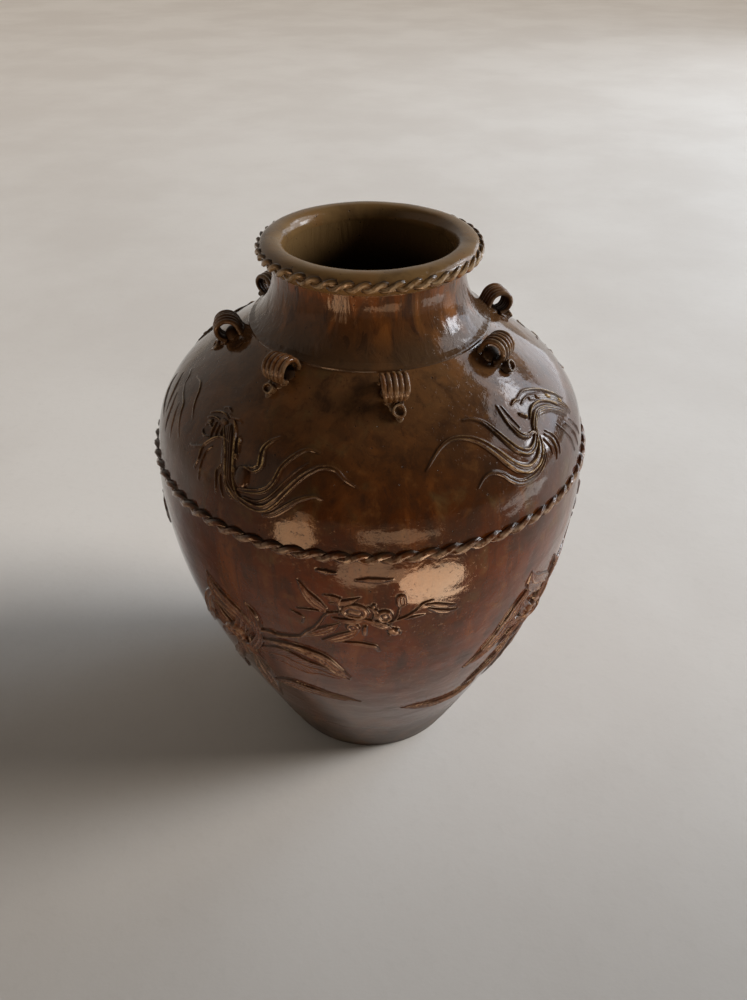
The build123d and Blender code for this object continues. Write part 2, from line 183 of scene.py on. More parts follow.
# ------------------------------------------------------------------------------------------------ mesh helpers
def make_object(name, verts_mm, faces, sharp=None):
    """A smooth-shaded mesh object from vertices in mm and quads or triangles."""
    me = bpy.data.meshes.new(name)
    v = np.array(verts_mm, dtype=np.float64) * 0.001
    reach = np.hypot(v[:, 0], v[:, 1])
    if name != "floor":
        v[:, :2] *= np.minimum(1.0, 0.23685 / np.maximum(reach, 1e-9))[:, None]
    faces = [np.asarray(f, dtype=np.int32) for f in (faces if isinstance(faces, list) else [faces]) if len(f)]
    me.vertices.add(len(v))
    me.vertices.foreach_set("co", v.astype(np.float32).ravel())
    loops = np.concatenate([f.ravel() for f in faces])
    sizes = np.concatenate([np.full(len(f), f.shape[1], dtype=np.int32) for f in faces])
    starts = np.concatenate([[0], np.cumsum(sizes)[:-1]]).astype(np.int32)
    me.loops.add(len(loops))
    me.loops.foreach_set("vertex_index", loops)
    me.polygons.add(len(sizes))
    me.polygons.foreach_set("loop_start", starts)
    me.update(calc_edges=True)
    me.validate()
    me.polygons.foreach_set("use_smooth", np.ones(len(me.polygons), dtype=bool))
    if sharp:
        me.set_sharp_from_angle(angle=math.radians(sharp))
    ob = bpy.data.objects.new(name, me)
    scene.collection.objects.link(ob)
    return ob


def signed_volume(v, faces):
    total = 0.0
    for f in faces if isinstance(faces, list) else [faces]:
        f = np.asarray(f)
        for k in range(1, f.shape[1] - 1):
            a, b, c = v[f[:, 0]], v[f[:, k]], v[f[:, k + 1]]
            total += np.einsum("ij,ij->i", a, np.cross(b, c)).sum() / 6
    return total


def outward(v, faces):
    """The faces, turned so that they look out of the solid."""
    v = np.asarray(v)
    if signed_volume(v, faces) < 0:
        return [np.asarray(f)[:, ::-1] for f in faces] if isinstance(faces, list) else np.asarray(faces)[:, ::-1]
    return faces


def set_attr(ob, name, values):
    a = ob.data.attributes.new(name, "FLOAT", "POINT")
    a.data.foreach_set("value", np.asarray(values, dtype=np.float32))


def convexity(ob, rounds, scale_mm):
    """How far each vertex stands proud of the smoothed mesh, scaled to about -1..1."""
    me = ob.data
    n = len(me.vertices)
    co = np.empty(n * 3, dtype=np.float32)
    me.vertices.foreach_get("co", co)
    co = co.reshape(-1, 3).astype(np.float64) * 1000
    ed = np.empty(len(me.edges) * 2, dtype=np.int32)
    me.edges.foreach_get("vertices", ed)
    ed = ed.reshape(-1, 2)
    deg = np.bincount(ed.ravel(), minlength=n).astype(float)
    deg[deg == 0] = 1
    sm = co.copy()
    for _ in range(rounds):
        acc = np.zeros_like(sm)
        for k in range(3):
            acc[:, k] = np.bincount(ed[:, 0], weights=sm[ed[:, 1], k], minlength=n) + np.bincount(
                ed[:, 1], weights=sm[ed[:, 0], k], minlength=n
            )
        sm = 0.4 * sm + 0.6 * acc / deg[:, None]
    nor = np.empty(n * 3, dtype=np.float32)
    me.vertices.foreach_get("normal", nor)
    nor = nor.reshape(-1, 3)
    return np.clip(np.einsum("ij,ij->i", co - sm, nor) / scale_mm, -1, 1)


pieces = []


def piece(ob, node, material):
    ob.data.materials.append(material)
    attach(ob, "root")
    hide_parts(node)
    pieces.append(ob)
    return ob


def lathe(name, rows, n_az, sharp=40.0):
    """A closed ring: rows of (r, z, nr, nz, weight of the unevenness) round the section, turned round the axis."""
    rows = np.array(rows, float)
    az = np.arange(n_az) * 2 * np.pi / n_az
    A, K = np.meshgrid(az, np.arange(len(rows)))
    r, z, nr, nz, w = (rows[K, i] for i in range(5))
    d = unevenness(A, np.clip(z, 0, HEIGHT)) * w
    rr = r + d * nr
    v = np.stack([rr * np.sin(A), -rr * np.cos(A), z + d * nz], -1).reshape(-1, 3)
    i = np.arange(len(rows))[:, None] * n_az
    j = np.arange(n_az)[None, :]
    i2 = np.roll(np.arange(len(rows)), -1)[:, None] * n_az
    j2 = (j + 1) % n_az
    f = np.stack([i + j, i + j2, i2 + j2, i2 + j], -1).reshape(-1, 4)
    return make_object(name, v, outward(v, f), sharp)


def outer_rows(z0, z1, step, weight=1.0):
    s = np.linspace(arc(z0), arc(z1), max(2, int(round((arc(z1) - arc(z0)) / step)) + 1))
    z = arc_to_z(s)
    z[0], z[-1] = z0, z1
    sl = slope(z)
    n = np.hypot(1, sl)
    return [(radius(a), a, 1 / k, -b / k, weight) for a, b, k in zip(z, sl, n)]


_ir = RT - WALL / np.hypot(1, ST)
_iz = ZT + WALL * ST / np.hypot(1, ST)


def inner_rows(z0, z1, step, weight=0.6):
    """Rows of the inside of the wall, from the height z0 up to z1."""
    n = max(2, int(abs(z1 - z0) / step) + 1)
    z = np.linspace(z0, z1, n)
    r = np.interp(z, _iz, _ir)
    return [(a, b, -1.0, 0.0, -weight) for a, b in zip(r, z)]


# ------------------------------------------------------------------------------------------------ glaze
class Tree:
    """Short ways to add shader nodes."""

    def __init__(self, name):
        self.m = bpy.data.materials.new(name)
        self.m.use_nodes = True
        self.t = self.m.node_tree
        self.t.nodes.clear()
        self.out = self.t.nodes.new("ShaderNodeOutputMaterial")
        self.b = self.t.nodes.new("ShaderNodeBsdfPrincipled")
        self.t.links.new(self.b.outputs[0], self.out.inputs[0])
        self.co = self.t.nodes.new("ShaderNodeTexCoord").outputs["Object"]

    def put(self, socket, value):
        if isinstance(value, bpy.types.NodeSocket):
            self.t.links.new(value, socket)
        else:
            socket.default_value = value

    def math(self, op, a, b=0.0, c=None, clamp=False):
        n = self.t.nodes.new("ShaderNodeMath")
        n.operation = op
        n.use_clamp = clamp
        self.put(n.inputs[0], a)
        self.put(n.inputs[1], b)
        if c is not None:
            self.put(n.inputs[2], c)
        return n.outputs[0]

    def span(self, v, a, b, c=0.0, d=1.0, smooth=True):
        n = self.t.nodes.new("ShaderNodeMapRange")
        n.interpolation_type = "SMOOTHSTEP" if smooth else "LINEAR"
        self.put(n.inputs["Value"], v)
        for k, x in zip(("From Min", "From Max", "To Min", "To Max"), (a, b, c, d)):
            self.put(n.inputs[k], x)
        return n.outputs[0]

    def mix(self, f, a, b, mode="MIX"):
        n = self.t.nodes.new("ShaderNodeMix")
        n.data_type = "RGBA"
        n.blend_type = mode
        self.put(n.inputs[0], f)
        self.put(n.inputs[6], a if isinstance(a, bpy.types.NodeSocket) else (*a, 1.0))
        self.put(n.inputs[7], b if isinstance(b, bpy.types.NodeSocket) else (*b, 1.0))
        return n.outputs[2]

    def scaled(self, sx, sy, sz, off=(0, 0, 0)):
        n = self.t.nodes.new("ShaderNodeMapping")
        self.put(n.inputs["Vector"], self.co)
        n.inputs["Scale"].default_value = (sx, sy, sz)
        n.inputs["Location"].default_value = off
        return n.outputs[0]

    def noise(self, vec, scale, detail=3.0, rough=0.5, distort=0.0):
        n = self.t.nodes.new("ShaderNodeTexNoise")
        self.put(n.inputs["Vector"], vec)
        n.inputs["Scale"].default_value = scale
        n.inputs["Detail"].default_value = detail
        n.inputs["Roughness"].default_value = rough
        n.inputs["Distortion"].default_value = distort
        return n.outputs[0]

    def voronoi(self, vec, scale, output="Distance", rand=1.0):
        n = self.t.nodes.new("ShaderNodeTexVoronoi")
        self.put(n.inputs["Vector"], vec)
        n.inputs["Scale"].default_value = scale
        n.inputs["Randomness"].default_value = rand
        return n.outputs[output]

    def ramp(self, f, stops):
        n = self.t.nodes.new("ShaderNodeValToRGB")
        self.put(n.inputs[0], f)
        e = n.color_ramp.elements
        while len(e) < len(stops):
            e.new(0.5)
        for el, (p, c) in zip(e, stops):
            el.position = p
            el.color = (*c, 1.0)
        return n.outputs[0]

    def bump(self, height, dist, strength=1.0, normal=None):
        n = self.t.nodes.new("ShaderNodeBump")
        n.inputs["Strength"].default_value = strength
        n.inputs["Distance"].default_value = dist
        self.put(n.inputs["Height"], height)
        if normal is not None:
            self.put(n.inputs["Normal"], normal)
        return n.outputs[0]

    def attr(self, name):
        n = self.t.nodes.new("ShaderNodeAttribute")
        n.attribute_name = name
        return n.outputs["Fac"]


def glaze(name, relief=0.0, pooled_glaze_and_shade_weight=0.0, lip=False, foot=False, neck=False, crest_glaze_and_highlight_tones=((0.260, 0.130, 0.060), (0.340, 0.215, 0.080)), edge=0.42, shaded=False):
    """Brown iron glaze over stoneware. It is darker and redder low down, olive on the shoulder, amber on the neck.
    Raised crests get a lighter tone that is partly painted highlight, hollows a near-black tone that is partly painted
    shade, and the inside of the mouth has painted shade.
    """
    g = Tree(name)
    sep = g.t.nodes.new("ShaderNodeSeparateXYZ")
    g.put(sep.inputs[0], g.co)
    z = sep.outputs[2]
    wide = g.noise(g.co, 7.0, 3.0, 0.55, 0.3)
    zn = g.math("MULTIPLY_ADD", z, 1 / 0.64, g.math("MULTIPLY_ADD", wide, 0.09, -0.045))
    if lip:
        zn = g.math("MAXIMUM", zn, 0.985)
    colour = g.ramp(
        zn,
        [
            (0.00, (0.060, 0.041, 0.030)),
            (0.085, (0.052, 0.031, 0.021)),
            (0.17, (0.070, 0.025, 0.013)),
            (0.40, (0.084, 0.021, 0.007)),
            (0.60, (0.082, 0.018, 0.003)),
            (0.70, (0.045, 0.011, 0.0020)),
            (0.79, (0.058, 0.020, 0.0055)),
            (0.862, (0.097, 0.045, 0.017)),
            (0.890, (0.100, 0.034, 0.008)),
            (0.930, (0.145, 0.043, 0.008)),
            (0.960, (0.160, 0.047, 0.008)),
            (0.972, (0.128, 0.070, 0.026)),
            (1.00, (0.136, 0.078, 0.030)),
        ],
    )
    # runs: thin amber and thick dark glaze in streaks down the wall
    runs = g.noise(g.scaled(1, 1, 0.16), 34.0, 4.0, 0.6, 0.6)
    runs2 = g.noise(g.scaled(1, 1, 0.22, (0.3, 0.1, 0.7)), 85.0, 3.0, 0.55, 0.8)
    blot = g.noise(g.scaled(1, 1, 0.8, (1.3, 0.4, 0.2)), 26.0, 4.0, 0.6, 0.4)
    amber = g.span(runs, 0.50, 0.70)
    amber_amount = 0.35 if neck else 0.42
    if lip:
        amber_amount = 0.16
    if not neck and not lip:
        amber = g.math("MULTIPLY", amber, g.span(zn, 0.72, 0.80, 1.0, 0.50))
    colour = g.mix(g.math("MULTIPLY", amber, amber_amount), colour, (0.190, 0.062, 0.013))
    dark = g.span(g.math("ADD", g.math("MULTIPLY", runs, 0.45), g.math("MULTIPLY", blot, 0.55)), 0.50, 0.36)
    colour = g.mix(g.math("MULTIPLY", dark, 0.35 if lip else 0.72), colour, (0.020, 0.009, 0.005))
    if not lip:
        # narrow dark threads of glaze between the streaks
        thread = g.noise(g.scaled(1, 1, 0.10, (0.9, 0.4, 0.0)), 120.0, 3.0, 0.6, 0.5)
        colour = g.mix(g.math("MULTIPLY", g.span(thread, 0.56, 0.68), 0.42), colour, (0.026, 0.010, 0.005))
        cloudy = g.noise(g.scaled(1, 1, 0.7, (0.2, 1.4, 0.6)), 11.0, 3.0, 0.6, 0.5)
        colour = g.mix(g.math("MULTIPLY", g.span(cloudy, 0.52, 0.34), 0.55), colour, (0.030, 0.013, 0.006))
    olive = g.span(blot, 0.55, 0.72)
    colour = g.mix(g.math("MULTIPLY", olive, 0.38), colour, (0.085, 0.062, 0.024))
    if not lip:
        # fine uneven patches of thick and thin glaze
        mottle = g.noise(g.scaled(1, 1, 0.75, (0.7, 0.2, 1.1)), 62.0, 4.0, 0.62, 0.5)
        colour = g.mix(g.math("MULTIPLY", g.span(mottle, 0.50, 0.36), 0.34), colour, (0.022, 0.010, 0.005))
        colour = g.mix(g.math("MULTIPLY", g.span(mottle, 0.54, 0.70), 0.24), colour, (0.150, 0.066, 0.020))
    if neck:
        # dark runs that hang from the rope over an amber ground
        fall = g.noise(g.scaled(1, 1, 0.13, (0.0, 0.7, 0.0)), 75.0, 2.0, 0.5, 0.5)
        edge = g.math("MULTIPLY_ADD", fall, 0.085, 0.5675)
        below = g.span(g.math("SUBTRACT", z, edge), 0.006, -0.006)
        colour = g.mix(g.math("MULTIPLY", below, 0.66), colour, (0.042, 0.021, 0.010))
        drip = g.span(runs2, 0.57, 0.64)
        colour = g.mix(g.math("MULTIPLY", drip, 0.72), colour, (0.022, 0.009, 0.005))
        hot = g.span(g.noise(g.scaled(1, 1, 0.30, (0.6, 0.1, 0.2)), 46.0, 2.0, 0.5, 0.3), 0.55, 0.72)
        colour = g.mix(g.math("MULTIPLY", hot, 0.34), colour, (0.300, 0.100, 0.018))
        # towards the ridge the glaze is a plain dark brown
        colour = g.mix(g.span(z, 0.588, 0.562, 0.0, 0.72), colour, (0.054, 0.029, 0.014))
        # the wall inside the neck is dark olive brown glaze, with painted shade that darkens it further down into the
        # mouth
        xx = g.math("MULTIPLY", sep.outputs[0], sep.outputs[0])
        rr = g.math("SQRT", g.math("MULTIPLY_ADD", sep.outputs[1], sep.outputs[1], xx))
        bound = g.span(z, 0.590, 0.557, 0.0905, 0.1130, smooth=False)
        within = g.span(g.math("SUBTRACT", rr, bound), 0.0, -0.003)
        mouth_glaze_and_painted_shade = g.mix(g.span(z, 0.575, 0.624), (0.034, 0.021, 0.009), (0.120, 0.069, 0.027))
        colour = g.mix(within, colour, mouth_glaze_and_painted_shade)
    if relief:
        # raised crests take a lighter tone, brighter above the belly: partly thin glaze over the edges, partly painted
        # highlight
        high = g.attr("relief")
        thin = g.span(high, edge, 0.98)
        rub = g.span(g.noise(g.co, 160.0, 3.0, 0.6), 0.33, 0.60)
        crest_glaze_and_highlight = g.mix(g.span(z, 0.40, 0.50), *crest_glaze_and_highlight_tones)
        colour = g.mix(g.math("MULTIPLY", g.math("MULTIPLY", thin, rub), relief), colour, crest_glaze_and_highlight)
    if pooled_glaze_and_shade_weight:
        # hollows, creases and halos round applied work go nearly black: partly thick pooled glaze, partly painted shade
        pooled_glaze_and_shade = g.attr("pooled_glaze_and_shade")
        colour = g.mix(g.math("MULTIPLY", pooled_glaze_and_shade, pooled_glaze_and_shade_weight), colour, (0.014, 0.008, 0.005))
    # pits and iron specks
    cells = g.voronoi(g.co, 105.0)
    cell_pick = g.voronoi(g.co, 105.0, "Color")
    pick = g.t.nodes.new("ShaderNodeSeparateColor")
    g.put(pick.inputs[0], cell_pick)
    chosen = g.math("GREATER_THAN", pick.outputs[0], 0.62)
    pit = g.math("MULTIPLY", g.span(cells, 0.105, 0.055), chosen)
    speck_cells = g.voronoi(g.scaled(1, 1, 1, (0.11, 0.2, 0.3)), 210.0)
    speck_pick = g.t.nodes.new("ShaderNodeSeparateColor")
    g.put(speck_pick.inputs[0], g.voronoi(g.scaled(1, 1, 1, (0.11, 0.2, 0.3)), 210.0, "Color"))
    speck = g.math("MULTIPLY", g.span(speck_cells, 0.20, 0.10), g.math("GREATER_THAN", speck_pick.outputs[1], 0.80))
    colour = g.mix(g.math("MULTIPLY", pit, 0.85), colour, (0.010, 0.006, 0.004))
    colour = g.mix(g.math("MULTIPLY", speck, 0.55), colour, (0.028, 0.012, 0.007))
    g.put(g.b.inputs["Base Color"], colour)

    # gloss
    rough = g.math("MULTIPLY_ADD", g.noise(g.co, 42.0, 4.0, 0.6), 0.11, 0.035 if not lip else 0.13)
    dry = g.span(zn, 0.24, 0.05)
    rough = g.math("ADD", rough, g.math("MULTIPLY", dry, 0.34))
    if neck:
        rough = g.math("ADD", rough, g.math("MULTIPLY", drip, 0.14))
    if shaded:
        # the clay under the arch is nearly bare of gloss
        rough = g.math("ADD", rough, g.math("MULTIPLY", g.attr("under"), 0.55))
    g.put(g.b.inputs["Roughness"], rough)
    g.b.inputs["IOR"].default_value = 1.5
    g.b.inputs["Specular IOR Level"].default_value = 0.20 if foot else (0.30 if neck else 0.34)
    g.b.inputs["Specular Tint"].default_value = (1.0, 0.64, 0.40, 1.0)
    if shaded:
        g.put(g.b.inputs["Coat Weight"], g.math("MULTIPLY_ADD", g.attr("under"), -0.24, 0.24))
    else:
        g.put(g.b.inputs["Coat Weight"], g.span(zn, 0.05, 0.34, 0.04, 0.24))
    g.b.inputs["Coat Roughness"].default_value = 0.035
    g.b.inputs["Coat IOR"].default_value = 1.5

    # surface of the glaze: orange peel, soft ripples, crawled pits
    peel = g.noise(g.co, 430.0, 2.0, 0.5)
    ripple = g.noise(g.scaled(1, 1, 1.25), 30.0, 2.0, 0.45, 0.3)
    n1 = g.bump(ripple, 0.0010)
    n1 = g.bump(g.noise(g.scaled(1, 1, 1.3, (0.4, 0.6, 0.1)), 95.0, 3.0, 0.55, 0.4), 0.00014, 1.0, n1)
    if neck:
        n1 = g.bump(runs2, 0.0008, 1.0, n1)
    n2 = g.bump(peel, 0.00008, 1.0, n1)
    n3 = g.bump(g.math("MULTIPLY", pit, -1.0), 0.0004, 1.0, n2)
    n4 = g.bump(g.span(g.noise(g.scaled(1, 1, 1, (0.5, 0.2, 0.9)), 240.0, 3.0, 0.7), 0.58, 0.74), 0.00012, 1.0, n3)
    g.put(g.b.inputs["Normal"], n4)
    coat_n = g.bump(ripple, 0.0008)
    if neck:
        coat_n = g.bump(runs2, 0.0004, 1.0, coat_n)
    coat_n = g.bump(peel, 0.00004, 1.0, coat_n)
    g.put(g.b.inputs["Coat Normal"], coat_n)
    return g.m


mat_body = glaze("body_glaze")
mat_neck = glaze("neck_glaze", neck=True)
mat_lip = glaze("lip_glaze", lip=True)
mat_foot = glaze("foot_glaze", foot=True)
mat_rope = glaze("rope_glaze", relief=0.92, pooled_glaze_and_shade_weight=0.95, crest_glaze_and_highlight_tones=((0.250, 0.166, 0.112), (0.290, 0.208, 0.124)), edge=0.20)
mat_lug = glaze("lug_glaze", relief=0.88, pooled_glaze_and_shade_weight=0.90, crest_glaze_and_highlight_tones=((0.232, 0.168, 0.102), (0.242, 0.176, 0.108)), edge=0.25, shaded=True)
mat_relief = glaze("relief_glaze", relief=0.88, pooled_glaze_and_shade_weight=0.80, crest_glaze_and_highlight_tones=((0.225, 0.125, 0.072), (0.330, 0.215, 0.090)))

# ------------------------------------------------------------------------------------------------ thrown sections
N_AZ = 420

# base: a flat disc with a softened lower edge, slightly hollow underneath
az = np.arange(N_AZ) * 2 * np.pi / N_AZ
rows = [(radius(0) - 1.6, 0.0, 0.0, -1.0, 0.0), (radius(0) - 0.5, 0.35, 0.7, -0.7, 0.4), (radius(1.2), 1.2, 1, 0, 0.8)]
rows += outer_rows(2.6, BASE_T, 1.8)
rows += [(radius(BASE_T) - WALL * 0.5, BASE_T, 0, 1, 0.0)]
inner_r = float(np.interp(BASE_T, _iz, _ir))
rows += [(inner_r, BASE_T, 0, 1, 0), (inner_r * 0.8, BASE_T, 0, 1, 0), (inner_r * 0.4, BASE_T - 0.4, 0, 1, 0), (2.0, BASE_T - 0.6, 0, 1, 0)]
rows += [(2.0, 1.2, 0, -1, 0), (60.0, 1.2, 0, -1, 0), (104.0, 1.0, 0, -1, 0), (108.0, 0.0, 0, -1, 0)]
rows = np.array(rows, float)


def capped(name, rows, n_az, sharp=40.0):
    """Like lathe, but the two rows on the smallest radius are closed with fans."""
    rows = np.array(rows, float)
    k0 = int(np.argmin(rows[:, 0]))
    rows = np.roll(rows, -(k0 + 1), axis=0)  # ends with the first small row, starts with the second
    a = np.arange(n_az) * 2 * np.pi / n_az
    A, K = np.meshgrid(a, np.arange(len(rows)))
    r, z, nr, nz, w = (rows[K, i] for i in range(5))
    d = unevenness(A, np.clip(z, 0, HEIGHT)) * w
    rr = r + d * nr
    v = np.stack([rr * np.sin(A), -rr * np.cos(A), z + d * nz], -1).reshape(-1, 3)
    v = np.vstack([v, [[0, 0, rows[0, 1]], [0, 0, rows[-1, 1]]]])
    m = len(rows)
    i = np.arange(m - 1)[:, None] * n_az
    j = np.arange(n_az)[None, :]
    j2 = (j + 1) % n_az
    f = np.stack([i + j, i + j2, i + n_az + j2, i + n_az + j], -1).reshape(-1, 4)
    jj = np.arange(n_az)
    top = np.stack([np.full(n_az, m * n_az), (jj + 1) % n_az, jj], -1)
    low = np.stack([np.full(n_az, m * n_az + 1), (m - 1) * n_az + jj, (m - 1) * n_az + (jj + 1) % n_az], -1)
    faces = outward(v, [f, top, low])
    return make_object(name, v, faces, sharp)


piece(capped("base_disc_glazed", rows, N_AZ), "base_disc", mat_foot)

rows = outer_rows(BASE_T, Z_BELLY, 2.9)
rows += inner_rows(Z_BELLY, BASE_T, 12.0)
piece(lathe("lower_wall_glazed", rows, N_AZ), "lower_wall", mat_body)

rows = outer_rows(Z_BELLY, Z_NECK, 2.2)
rows += inner_rows(Z_NECK, Z_BELLY, 8.0)
piece(lathe("upper_wall_glazed", rows, N_AZ), "upper_wall", mat_body)

rows = outer_rows(Z_NECK, Z_LIP, 1.5)
# the inside runs smoothly over the inner foot of the lip
for q in np.linspace(0, 1, 13):
    h = 624.6 - 28.6 * q
    rows.append((82.3 + 0.6 * q + q * q * (3 - 2 * q) * (float(np.interp(h, _iz, _ir)) - 82.9), h, -1.0, 0.0, -0.4))
rows += inner_rows(592.0, Z_NECK, 4.0)
piece(lathe("neck_collar_glazed", rows, N_AZ), "neck_collar", mat_neck)

# lip: thick, rolled outwards, the top broad and a little convex, with a crisp inner edge
LIP = [
    (84.4, 617.0), (95.6, 617.0), (99.5, 617.9), (103.2, 619.7), (105.8, 622.0), (107.4, 624.6), (108.2, 627.4),
    (108.4, 630.2), (107.9, 632.8), (106.6, 635.2), (104.4, 637.1), (101.4, 638.5), (98.0, 639.3), (94.6, 639.5),
    (91.4, 639.2), (88.8, 638.4), (86.8, 637.0), (85.3, 635.2), (84.1, 633.0), (83.2, 630.6), (82.7, 628.0),
    (82.5, 625.4), (82.9, 622.6), (83.5, 619.8),
]


def smooth_loop(points, per_mm):
    """Closed Catmull-Rom curve through the points, evenly sampled, with outward normals."""
    p = np.array(points, float)
    n = len(p)
    out = []
    for i in range(n):
        a, b, c, d = p[(i - 1) % n], p[i], p[(i + 1) % n], p[(i + 2) % n]
        m = max(2, int(np.linalg.norm(c - b) * 6))
        for t in np.arange(m) / m:
            out.append(0.5 * (2 * b + (c - a) * t + (2 * a - 5 * b + 4 * c - d) * t**2 + (3 * b - a - 3 * c + d) * t**3))
    out = np.array(out)
    seg = np.linalg.norm(np.roll(out, -1, 0) - out, axis=1)
    s = np.concatenate([[0], np.cumsum(seg)])
    k = int(s[-1] * per_mm)
    q = np.arange(k) * s[-1] / k
    loop = np.vstack([out, out[:1]])
    res = np.stack([np.interp(q, s, loop[:, i]) for i in range(2)], -1)
    tan = np.roll(res, -1, 0) - np.roll(res, 1, 0)
    tan /= np.linalg.norm(tan, axis=1)[:, None]
    nor = np.stack([tan[:, 1], -tan[:, 0]], -1)
    area = 0.5 * np.sum(res[:, 0] * np.roll(res[:, 1], -1) - np.roll(res[:, 0], -1) * res[:, 1])
    if area < 0:
        nor = -nor
    return res, nor


lip_wave = lattice(11, 9, 3)
lip_fine = lattice(12, 40, 8)


def build_lip():
    res, nor = smooth_loop([(r - 1.2 * max(0.0, r - 95.6) / 12.8, z) for r, z in LIP], 0.85)
    n_az = 480
    a = np.arange(n_az) * 2 * np.pi / n_az
    A, K = np.meshgrid(a, np.arange(len(res)))
    r, z = res[K, 0], res[K, 1]
    nr, nz = nor[K, 0], nor[K, 1]
    seat = np.clip((z - 617.0) / 6.0, 0, 1)
    d = 0.16 * lip_fine(A, (K % len(res)) / len(res)) * seat
    rr = r + d * nr + 0.55 * lip_wave(A, 0.3) * seat
    zz = z + d * nz + (0.42 * lip_wave(A, 0.8) - 0.10) * seat
    zz = np.minimum(zz, 639.95)
    v = np.stack([rr * np.sin(A), -rr * np.cos(A), zz], -1).reshape(-1, 3)
    i = np.arange(len(res))[:, None] * n_az
    i2 = np.roll(np.arange(len(res)), -1)[:, None] * n_az
    j = np.arange(n_az)[None, :]
    j2 = (j + 1) % n_az
    f = np.stack([i + j, i + j2, i2 + j2, i2 + j], -1).reshape(-1, 4)
    return make_object("lip_roll_glazed", v, outward(v, f), 50.0)


piece(build_lip(), "lip_roll", mat_lip)

# thin raised line where the neck meets the shoulder
ridge_wave = lattice(13, 30, 3)


def build_ridge():
    """A low sharp fold of clay that was pulled down over the shoulder."""
    n_az = 480
    a = np.arange(n_az) * 2 * np.pi / n_az
    s0 = float(arc(Z_NECK))
    # (offset along the wall, lift off the wall): from the neck down over the edge and back under the surface
    prof = np.array([(9.0, -0.5), (6.5, 0.0), (4.0, 0.45), (1.8, 1.05), (0.4, 1.45), (-0.8, 1.35), (-1.6, 0.75), (-2.2, -0.1), (-2.6, -0.9), (0.0, -1.6), (5.0, -1.6)])
    A, K = np.meshgrid(a, np.arange(len(prof)))
    wav = ridge_wave(A, 0.5)
    z = arc_to_z(s0 + prof[K, 0] * (1 + 0.12 * wav) + 0.5 * ridge_wave(A, 0.9))
    lift = prof[K, 1] * np.where(prof[K, 1] > 0, 1.0 + 0.30 * wav, 1.0)
    p, _ = on_surface(A, z, lift)
    v = p.reshape(-1, 3)
    i = np.arange(len(prof))[:, None] * n_az
    i2 = np.roll(np.arange(len(prof)), -1)[:, None] * n_az
    j = np.arange(n_az)[None, :]
    j2 = (j + 1) % n_az
    f = np.stack([i + j, i + j2, i2 + j2, i2 + j], -1).reshape(-1, 4)
    return make_object("neck_ridge_glazed", v, outward(v, f), 60.0)


piece(build_ridge(), "neck_ridge", mat_neck)


# ------------------------------------------------------------------------------------------------ twisted ropes
def twisted_rope(name, r_mid, z_mid, turns, strand, off, squash, seed, ring_step, r_max, tilt=0.0):
    """Two clay coils twisted together and laid round the jar. off is the strand's distance from the rope's middle."""
    wav = lattice(seed, 13, 3)
    fine = lattice(seed + 1, 90, 5)
    k = int(2 * np.pi * r_mid / ring_step)
    sides = 36
    az_c = np.arange(k) * 2 * np.pi / k
    phase = turns * az_c + 0.55 * wav(az_c, 0.2)
    all_v, all_f, rel = [], [], []
    for half in (0.0, np.pi):
        ph = phase + half
        o = off * (1 + 0.10 * wav(az_c, 0.6))
        rc = r_mid + o * np.cos(ph) * squash + 0.25 * wav(az_c, 0.9)
        zc = z_mid + o * np.sin(ph) + 0.55 * wav(az_c, 0.4)
        c = np.stack([rc * np.sin(az_c), -rc * np.cos(az_c), zc], -1)
        t = np.roll(c, -1, 0) - np.roll(c, 1, 0)
        t /= np.linalg.norm(t, axis=1)[:, None]
        out = np.stack([np.sin(az_c), -np.cos(az_c), np.full_like(az_c, tilt)], -1)
        out -= np.einsum("ij,ij->i", out, t)[:, None] * t
        out /= np.linalg.norm(out, axis=1)[:, None]
        up = np.cross(t, out)
        q = np.arange(sides) * 2 * np.pi / sides
        rad = strand * (1 + 0.05 * fine(az_c, 0.1 if half else 0.9))[:, None]
        # each strand is a little flattened where it presses on the other one
        A = q[None, :]
        lobe = 1.0 - 0.07 * np.cos(2 * (A - ph[:, None]))
        # fine ridges along the strand
        comb = np.cos(6 * A + 2 * turns * az_c[:, None] + half)
        rr = rad * (lobe + 0.055 * comb)
        v = c[:, None, :] + rr[..., None] * (np.cos(A)[..., None] * out[:, None, :] + np.sin(A)[..., None] * up[:, None, :])
        base = sum(len(x) for x in all_v)
        all_v.append(v.reshape(-1, 3))
        # proud where it faces away from the middle of the rope; these faces take the lighter crest tone, partly painted
        # highlight
        rel.append(((0.5 + 0.5 * np.cos(A - ph[:, None])) * (0.86 + 0.14 * comb)).reshape(-1))
        i = np.arange(k)[:, None] * sides
        i2 = ((np.arange(k) + 1) % k)[:, None] * sides
        j = np.arange(sides)[None, :]
        j2 = (j + 1) % sides
        all_f.append(np.stack([i + j, i + j2, i2 + j2, i2 + j], -1).reshape(-1, 4) + base)
    v = np.vstack(all_v)
    rr = np.hypot(v[:, 0], v[:, 1])
    over = np.maximum(rr - r_max, 0) / rr
    v[:, 0] *= 1 - over
    v[:, 1] *= 1 - over
    f = np.vstack(all_f)
    ob = make_object(name, v, outward(v, f))
    rel = np.concatenate(rel)
    set_attr(ob, "relief", np.clip(rel * 1.15 - 0.1, 0, 1))
    # faces turned in towards the middle of the rope are darkened: partly pooled glaze, partly painted shade between the
    # strands and the wall
    set_attr(ob, "pooled_glaze_and_shade", np.clip(0.42 - rel, 0, 1) / 0.42)
    return ob


belly = twisted_rope("belly_rope_twisted", 230.9, Z_BELLY, 35, 3.45, 3.0, 0.76, 21, 1.7, 236.8)
piece(belly, "belly_rope", mat_rope)
rim = twisted_rope("rim_rope_twisted", 106.3, 629.2, 22, 2.65, 3.3, 0.66, 31, 1.2, 110.9)
piece(rim, "rim_rope", mat_rope)


